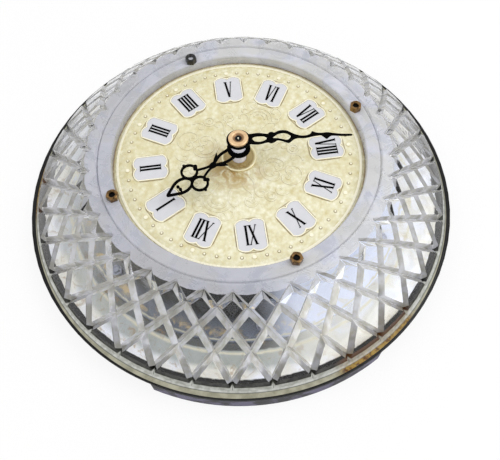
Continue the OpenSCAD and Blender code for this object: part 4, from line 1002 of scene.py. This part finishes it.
class CLOCK_OT_skirt(Step, bpy.types.Operator):
    """Cuts the clear skirt: worn edges, polished diamonds, matt grooves, milky band and rim"""

    bl_idname = "clock.skirt"
    bl_label = "Clear skirt"

    # order of the finishes in the skirt's material slots
    CLEAR, GROOVE, BAND, RIM, EDGE = range(5)

    COLLAR_FOOT_Z = 48 * MM
    # a face that leaves the slope by more than these is a groove's
    GROOVE_TILT, GROOVE_TURN = radians(16), radians(14)

    def execute(self, context):
        sizes, hues = context.scene.clock_sizes, context.scene.clock_colours
        skirt = rounded_copy("crystal_body", "crystal_skirt", sizes.cut_edge, 1, 14, 12)
        for finish in (
            clear_cut_finish(hues),
            ground_cut_finish(hues),
            milky_finish(hues, "band_milky", 0.25),
            rim_finish(hues),
            rim_black_finish(hues),
        ):
            skirt.data.materials.append(finish)
        slope = Vector((TOP_Z - CREST_END_Z, CREST_END_R - COLLAR_R)).normalized()
        for face in skirt.data.polygons:
            face.material_index = self.finish_at(face.center, face.normal, slope)
        # clear, so it throws no shadow on what lies under it
        skirt.visible_shadow = skirt.visible_diffuse = False
        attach(skirt, body_of("crystal_body"))
        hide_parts("crystal_body")
        return {"FINISHED"}

    def finish_at(self, centre, normal, slope):
        """The finish of one face, from its place and from how it lies to the skirt's slope."""
        radius = hypot(centre.x, centre.y)
        outward = (centre.x * normal.x + centre.y * normal.y) / radius
        sideways = (centre.x * normal.y - centre.y * normal.x) / radius
        in_collar = radius < COLLAR_R - 1 * MM and centre.z > self.COLLAR_FOOT_Z
        if centre.z > TOP_Z - 0.12 * MM or in_collar:
            return self.BAND
        if radius > RIM_R - 0.6 * MM and outward > 0.5:
            return self.EDGE
        if radius > CREST_END_R - 0.2 * MM:
            return self.RIM
        if outward < -0.1 or normal.z < -0.2:
            return self.CLEAR
        tilt = Vector((outward, normal.z)).angle(slope)
        turn = asin(min(1, abs(sideways)))
        cut = tilt > self.GROOVE_TILT or turn > self.GROOVE_TURN
        return self.GROOVE if cut else self.CLEAR


class CLOCK_OT_ring(Step, bpy.types.Operator):
    """Finishes the milky ring over the dial with its studs and six-sided nuts"""

    bl_idname = "clock.ring"
    bl_label = "Top ring and nuts"

    def execute(self, context):
        sizes, hues = context.scene.clock_sizes, context.scene.clock_colours
        ring = rounded_copy("top_ring", "ring_rounded", sizes.ring_edge, 3, 30, 35)
        dress(milky_finish(hues, "ring_milky", 0.12), ring)
        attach(ring, body_of("top_ring"))
        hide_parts("top_ring")
        nuts = self.rounded_nuts("ring_nuts", sizes.nut_edge)
        dress(metal_finish("nut_bronze", hues.bronze, hues.bronze_dull, (0.18, 0.4)), nuts)
        nut = self.rounded_nuts("dark_nut", sizes.nut_edge)
        dress(black_paint_finish(hues, "nut_black", 0.25), nut)
        dress(stud_finish(hues), "ring_studs")
        return {"FINISHED"}

    def rounded_nuts(self, node, edge):
        piece = rounded_copy(node, node + "_rounded", edge, 2, 30, 35)
        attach(piece, body_of(node))
        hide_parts(node)
        return piece


class CLOCK_OT_dial(Step, bpy.types.Operator):
    """Raises the scrolls on the dial and finishes plate, plaques and numerals"""

    bl_idname = "clock.dial"
    bl_label = "Dial"

    # One quarter of the relief, in millimetres and degrees: start x, y, heading, turns
    QUARTER = (
        # two C scrolls on the line from the hub to three o'clock
        (13.2, 0.0, 90, ((7.4, -110), (3.6, -120), (2.1, -140), (1.2, -150))),
        (37.0, 0.0, 90, ((6.2, 105), (3.1, 120), (1.7, 140), (1.0, 150))),
        (15.4, 0.0, 90, ((5.2, -70), (2.4, -60))),
        # rings and a curl towards one and two o'clock
        (28.6, 16.6, 90, ((3.0, 180), (3.0, 179))),
        (26.9, 16.6, 90, ((1.4, 180), (1.4, 179))),
        (20.4, 23.8, 90, ((3.3, 250), (2.0, 150), (1.1, 150))),
        (33.6, 11.4, 120, ((5.0, 60), (2.6, 90), (1.4, 150))),
        # leaf lines from the hub outwards
        (10.2, 9.6, 20, ((9.0, 55), (5.0, -60), (2.2, -170), (1.2, -120))),
        (8.2, 14.6, 60, ((8.0, -50), (4.0, 70), (1.8, 170))),
        # fan over the hub
        (0.35, 36.8, 0, ((7.4, -74), (1.9, 190), (1.1, 130))),
        (0.35, 34.6, 0, ((5.2, -78),)),
        (0.35, 32.4, 0, ((3.0, -80),)),
        (10.6, 33.4, 60, ((4.4, 110), (2.4, 130), (1.3, 150))),
        (4.0, 20.4, 100, ((10.0, -40), (5.0, -50), (2.2, -160))),
    )

    def execute(self, context):
        sizes, hues = context.scene.clock_sizes, context.scene.clock_colours
        dress(dial_finish(hues), "dial_plate")
        dress(plaque_finish(hues), "numeral_plaques")
        dress(black_paint_finish(hues, "numeral_ink", 0.55, 0.03), "numerals")
        line = sizes.scroll_width, sizes.scroll_height
        quarter = [
            scroll(x * MM, y * MM, radians(heading), [(r * MM, turn) for r, turn in turns], *line)
            for x, y, heading, turns in self.QUARTER
        ]
        one = joined(quarter, "scroll_quarter")
        right = joined([one, mirrored(one, y=-1)], "scroll_half")
        work = joined([right, mirrored(right, x=-1)], "dial_scrollwork")
        dress(scroll_finish(hues), work)
        smooth(work, 60)
        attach(work, body_of("dial_plate"))
        return {"FINISHED"}


class CLOCK_OT_hub(Step, bpy.types.Operator):
    """Finishes the boss, washer, posts and brass cap in the middle of the dial"""

    bl_idname = "clock.hub"
    bl_label = "Hub"

    def execute(self, context):
        hues = context.scene.clock_colours
        dress(boss_finish(hues), "fixing_nut")
        rubber_and_shadow = moulded_finish("washer_rubber", hues.black, hues.case_worn, (0.6, 0.8), 0.3, 0.05)
        dress(rubber_and_shadow, "rubber_washer")
        white = moulded_finish("post_white", hues.post_white, hues.post_shade, (0.16, 0.3))
        dress(white, "threaded_bush", "minute_collet")
        dress(cap_finish(hues), "hand_nut")
        return {"FINISHED"}


class CLOCK_OT_hands(Step, bpy.types.Operator):
    """Rounds the stamped black hands"""

    bl_idname = "clock.hands"
    bl_label = "Hands"

    def execute(self, context):
        sizes, hues = context.scene.clock_sizes, context.scene.clock_colours
        paint = black_paint_finish(hues, "hand_paint", 0.55, 0.03)
        for node in ("hour_hand", "minute_hand"):
            hand = rounded_copy(node, node + "_rounded", sizes.hand_edge, 2, 40, 40)
            dress(paint, hand)
            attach(hand, body_of(node))
            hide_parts(node)
        return {"FINISHED"}


class CLOCK_OT_drum(Step, bpy.types.Operator):
    """Finishes the drum behind the skirt, its nuts and screws and the hanger"""

    bl_idname = "clock.drum"
    bl_label = "Drum"

    def execute(self, context):
        hues = context.scene.clock_colours
        dress(drum_finish(hues), "dial_seat", "support_drum", "base_ring")
        steel = metal_finish("plated_steel", hues.steel_pale, hues.steel_deep, (0.25, 0.45))
        dress(steel, "base_nuts", "drum_screws", "hanger_plate", "hanger_rivets")
        return {"FINISHED"}


class CLOCK_OT_back(Step, bpy.types.Operator):
    """Finishes the reflector, the black back plate and the wall feet, which are coloured as the
    rim's contact shadow
    """

    bl_idname = "clock.back"
    bl_label = "Back"

    def execute(self, context):
        hues = context.scene.clock_colours
        dress(reflector_finish(hues), "reflector")
        dress(black_paint_finish(hues, "back_black", 0.55, 0.25), "back_plate")
        dress(foot_shadow_finish(hues), "foot_arcs")
        return {"FINISHED"}


class CLOCK_OT_case(Step, bpy.types.Operator):
    """Finishes the movement case, its plate, the battery and its springs"""

    bl_idname = "clock.case"
    bl_label = "Movement case"

    def execute(self, context):
        hues = context.scene.clock_colours
        blacks = hues.case_black, hues.case_worn
        black = moulded_finish("case_black", *blacks, (0.45, 0.65), 0.5, 0.06)
        dress(black, "case_front", "case_back")
        dress(moulded_finish("plate_white", hues.natural, hues.natural_deep), "middle_plate")
        dress(battery_finish(hues), "battery")
        dress(metal_finish("spring_brass", hues.brass, hues.brass_dull), "contact_plus")
        dress(metal_finish("spring_steel", hues.steel_pale, hues.steel_deep), "contact_minus")
        dress(moulded_finish("knob_dark", hues.case_worn, hues.case_black), "setting_knob")
        return {"FINISHED"}


class CLOCK_OT_circuit(Step, bpy.types.Operator):
    """Finishes the board, crystal, chip, capacitor, coil and stator"""

    bl_idname = "clock.circuit"
    bl_label = "Circuit and coil"

    def execute(self, context):
        hues = context.scene.clock_colours
        dress(board_finish(hues), "circuit_board")
        dress(metal_finish("quartz_silver", hues.steel_pale, hues.steel_deep), "quartz_can")
        chip = moulded_finish("chip_black", hues.black, hues.case_worn, (0.3, 0.5), 0.6, 0.05)
        dress(chip, "driver_chip")
        dress(moulded_finish("capacitor_ochre", hues.ochre, hues.oxide_gold), "trim_capacitor")
        dress(moulded_finish("bobbin_natural", hues.natural_deep, hues.natural), "coil_bobbin")
        dress(coil_finish(hues), "coil_winding")
        iron = metal_finish("stator_iron", hues.steel_deep, hues.case_worn, (0.3, 0.5))
        dress(iron, "stator")
        magnet = metal_finish("magnet_grey", hues.steel_deep, hues.black_worn, (0.4, 0.6), 0.6)
        dress(magnet, "rotor")
        return {"FINISHED"}


class CLOCK_OT_wheels(Step, bpy.types.Operator):
    """Finishes the wheels and the arbor"""

    bl_idname = "clock.wheels"
    bl_label = "Wheels"

    def execute(self, context):
        hues = context.scene.clock_colours
        natural = moulded_finish("wheel_natural", hues.natural, hues.natural_deep, (0.3, 0.5))
        dress(natural, "intermediate_wheel", "seconds_wheel", "third_wheel")
        dress(natural, "minute_wheel", "hour_wheel")
        dress(metal_finish("wheel_brass", hues.brass, hues.brass_dull, (0.2, 0.4)), "centre_wheel")
        dress(arbor_finish(hues), "minute_arbor")
        return {"FINISHED"}


class CLOCK_OT_stage(Step, bpy.types.Operator):
    """Sets the pale floor, the soft lamps and the camera"""

    bl_idname = "clock.stage"
    bl_label = "Stage"

    FLOOR = 6  # metres across
    GLOW = 0.86  # how far the floor is plain white to the camera; the rest keeps the shadow
    FILL = 0.35  # the second lamp's power, as a share of the first one's
    AIM = Vector((0, 0, 0.03))
    SENSOR = 36  # width of the camera's sensor in millimetres

    def execute(self, context):
        self.stage = context.scene.clock_stage
        self.floor()
        self.lamps()
        self.world(context.scene)
        self.camera(context.scene)
        context.scene.view_settings.view_transform = "Standard"
        return {"FINISHED"}

    def floor(self):
        deselect_all()
        bpy.ops.mesh.primitive_plane_add(size=self.FLOOR, location=(0, 0, -0.2 * MM))
        floor = named("pale_floor")
        settle()
        f = Finish("floor_pale", Base_Color=self.stage.floor, Roughness=0.9)
        glow = f.node("Emission", {}, {"Color": (1, 1, 1), "Strength": 1.0})
        ray = f.node("LightPath")
        seen = ray.most(ray.other("Is Glossy Ray")).most(ray.other("Is Transmission Ray"))
        mixed = f.node("MixShader", {}, {0: seen * self.GLOW, 1: f.shader, 2: glow})
        f.feed(f.out.inputs["Surface"], mixed)
        dress(f.material, floor)

    def lamps(self):
        for name, place, size, power in (
            ("soft_box", (-0.75, -0.35, 1.15), 0.9, self.stage.soft_box),
            ("fill_box", (0.7, 0.8, 0.9), 0.8, self.stage.soft_box * self.FILL),
        ):
            deselect_all()
            bpy.ops.object.light_add(type="AREA", location=place)
            lamp = bpy.context.active_object
            lamp.name = name
            lamp.data.shape = "SQUARE"
            lamp.data.size = size
            lamp.data.energy = power
            aim = self.AIM - Vector(place)
            lamp.rotation_euler = aim.to_track_quat("-Z", "Y").to_euler()

    def world(self, scene):
        """Even white light, seen at full white by the camera and through clear plastic."""
        scene.world = bpy.data.worlds.new("studio")
        w = Finish.of_world(scene.world)
        ray = w.node("LightPath")
        seen = ray.most(ray.other("Is Transmission Ray"))
        strength = grey(seen, self.stage.world_light, 1.0)
        glow = w.node("Background", {}, {"Color": (1, 1, 1), "Strength": strength})
        w.node("OutputWorld", {}, {"Surface": glow})

    def camera(self, scene):
        s = self.stage
        out = Vector((cos(s.azimuth), sin(s.azimuth), 0)) * cos(s.elevation)
        back = out + Vector((0, 0, sin(s.elevation)))
        level = Vector((-sin(s.azimuth), cos(s.azimuth), 0))
        steep = back.cross(level)
        right = level * cos(s.roll) - steep * sin(s.roll)
        up = level * sin(s.roll) + steep * cos(s.roll)
        place = back * s.distance - right * s.right - up * s.up + Vector((0, 0, SKIRT_FOOT_Z))
        deselect_all()
        bpy.ops.object.camera_add(location=place)
        camera = bpy.context.active_object
        camera.name = "camera"
        turn = Matrix((right, up, back)).transposed().to_4x4()
        camera.matrix_world = Matrix.Translation(place) @ turn
        camera.data.lens = s.lens
        camera.data.sensor_width = self.SENSOR
        camera.data.clip_start = 0.01
        scene.camera = camera


STEPS = (
    CLOCK_OT_skirt,
    CLOCK_OT_ring,
    CLOCK_OT_dial,
    CLOCK_OT_hub,
    CLOCK_OT_hands,
    CLOCK_OT_drum,
    CLOCK_OT_back,
    CLOCK_OT_case,
    CLOCK_OT_circuit,
    CLOCK_OT_wheels,
    CLOCK_OT_stage,
)


class CLOCK_PT_steps(bpy.types.Panel):
    """Lists the steps of the clock"""

    bl_label = "Clock"
    bl_idname = "CLOCK_PT_steps"
    bl_space_type = "VIEW_3D"
    bl_region_type = "UI"
    bl_category = "Clock"

    def draw(self, context):
        for step in STEPS:
            self.layout.operator(step.bl_idname)
        for key in GROUPS:
            group, box = getattr(context.scene, key), self.layout.box()
            for name in group.bl_rna.properties.keys():
                if name not in ("rna_type", "name"):
                    box.prop(group, name)


GROUPS = {
    "clock_sizes": ClockSizes,
    "clock_colours": ClockColours,
    "clock_stage": StageSettings,
}
CLASSES = (*GROUPS.values(), *STEPS, CLOCK_PT_steps)


def register():
    for made in CLASSES:
        bpy.utils.register_class(made)
    for key, group in GROUPS.items():
        setattr(bpy.types.Scene, key, bpy.props.PointerProperty(type=group))


def unregister():
    for key in GROUPS:
        delattr(bpy.types.Scene, key)
    for made in reversed(CLASSES):
        bpy.utils.unregister_class(made)


def main():
    register()
    for step in STEPS:
        group, name = step.bl_idname.split(".")
        getattr(getattr(bpy.ops, group), name)()


if __name__ == "__main__":
    main()
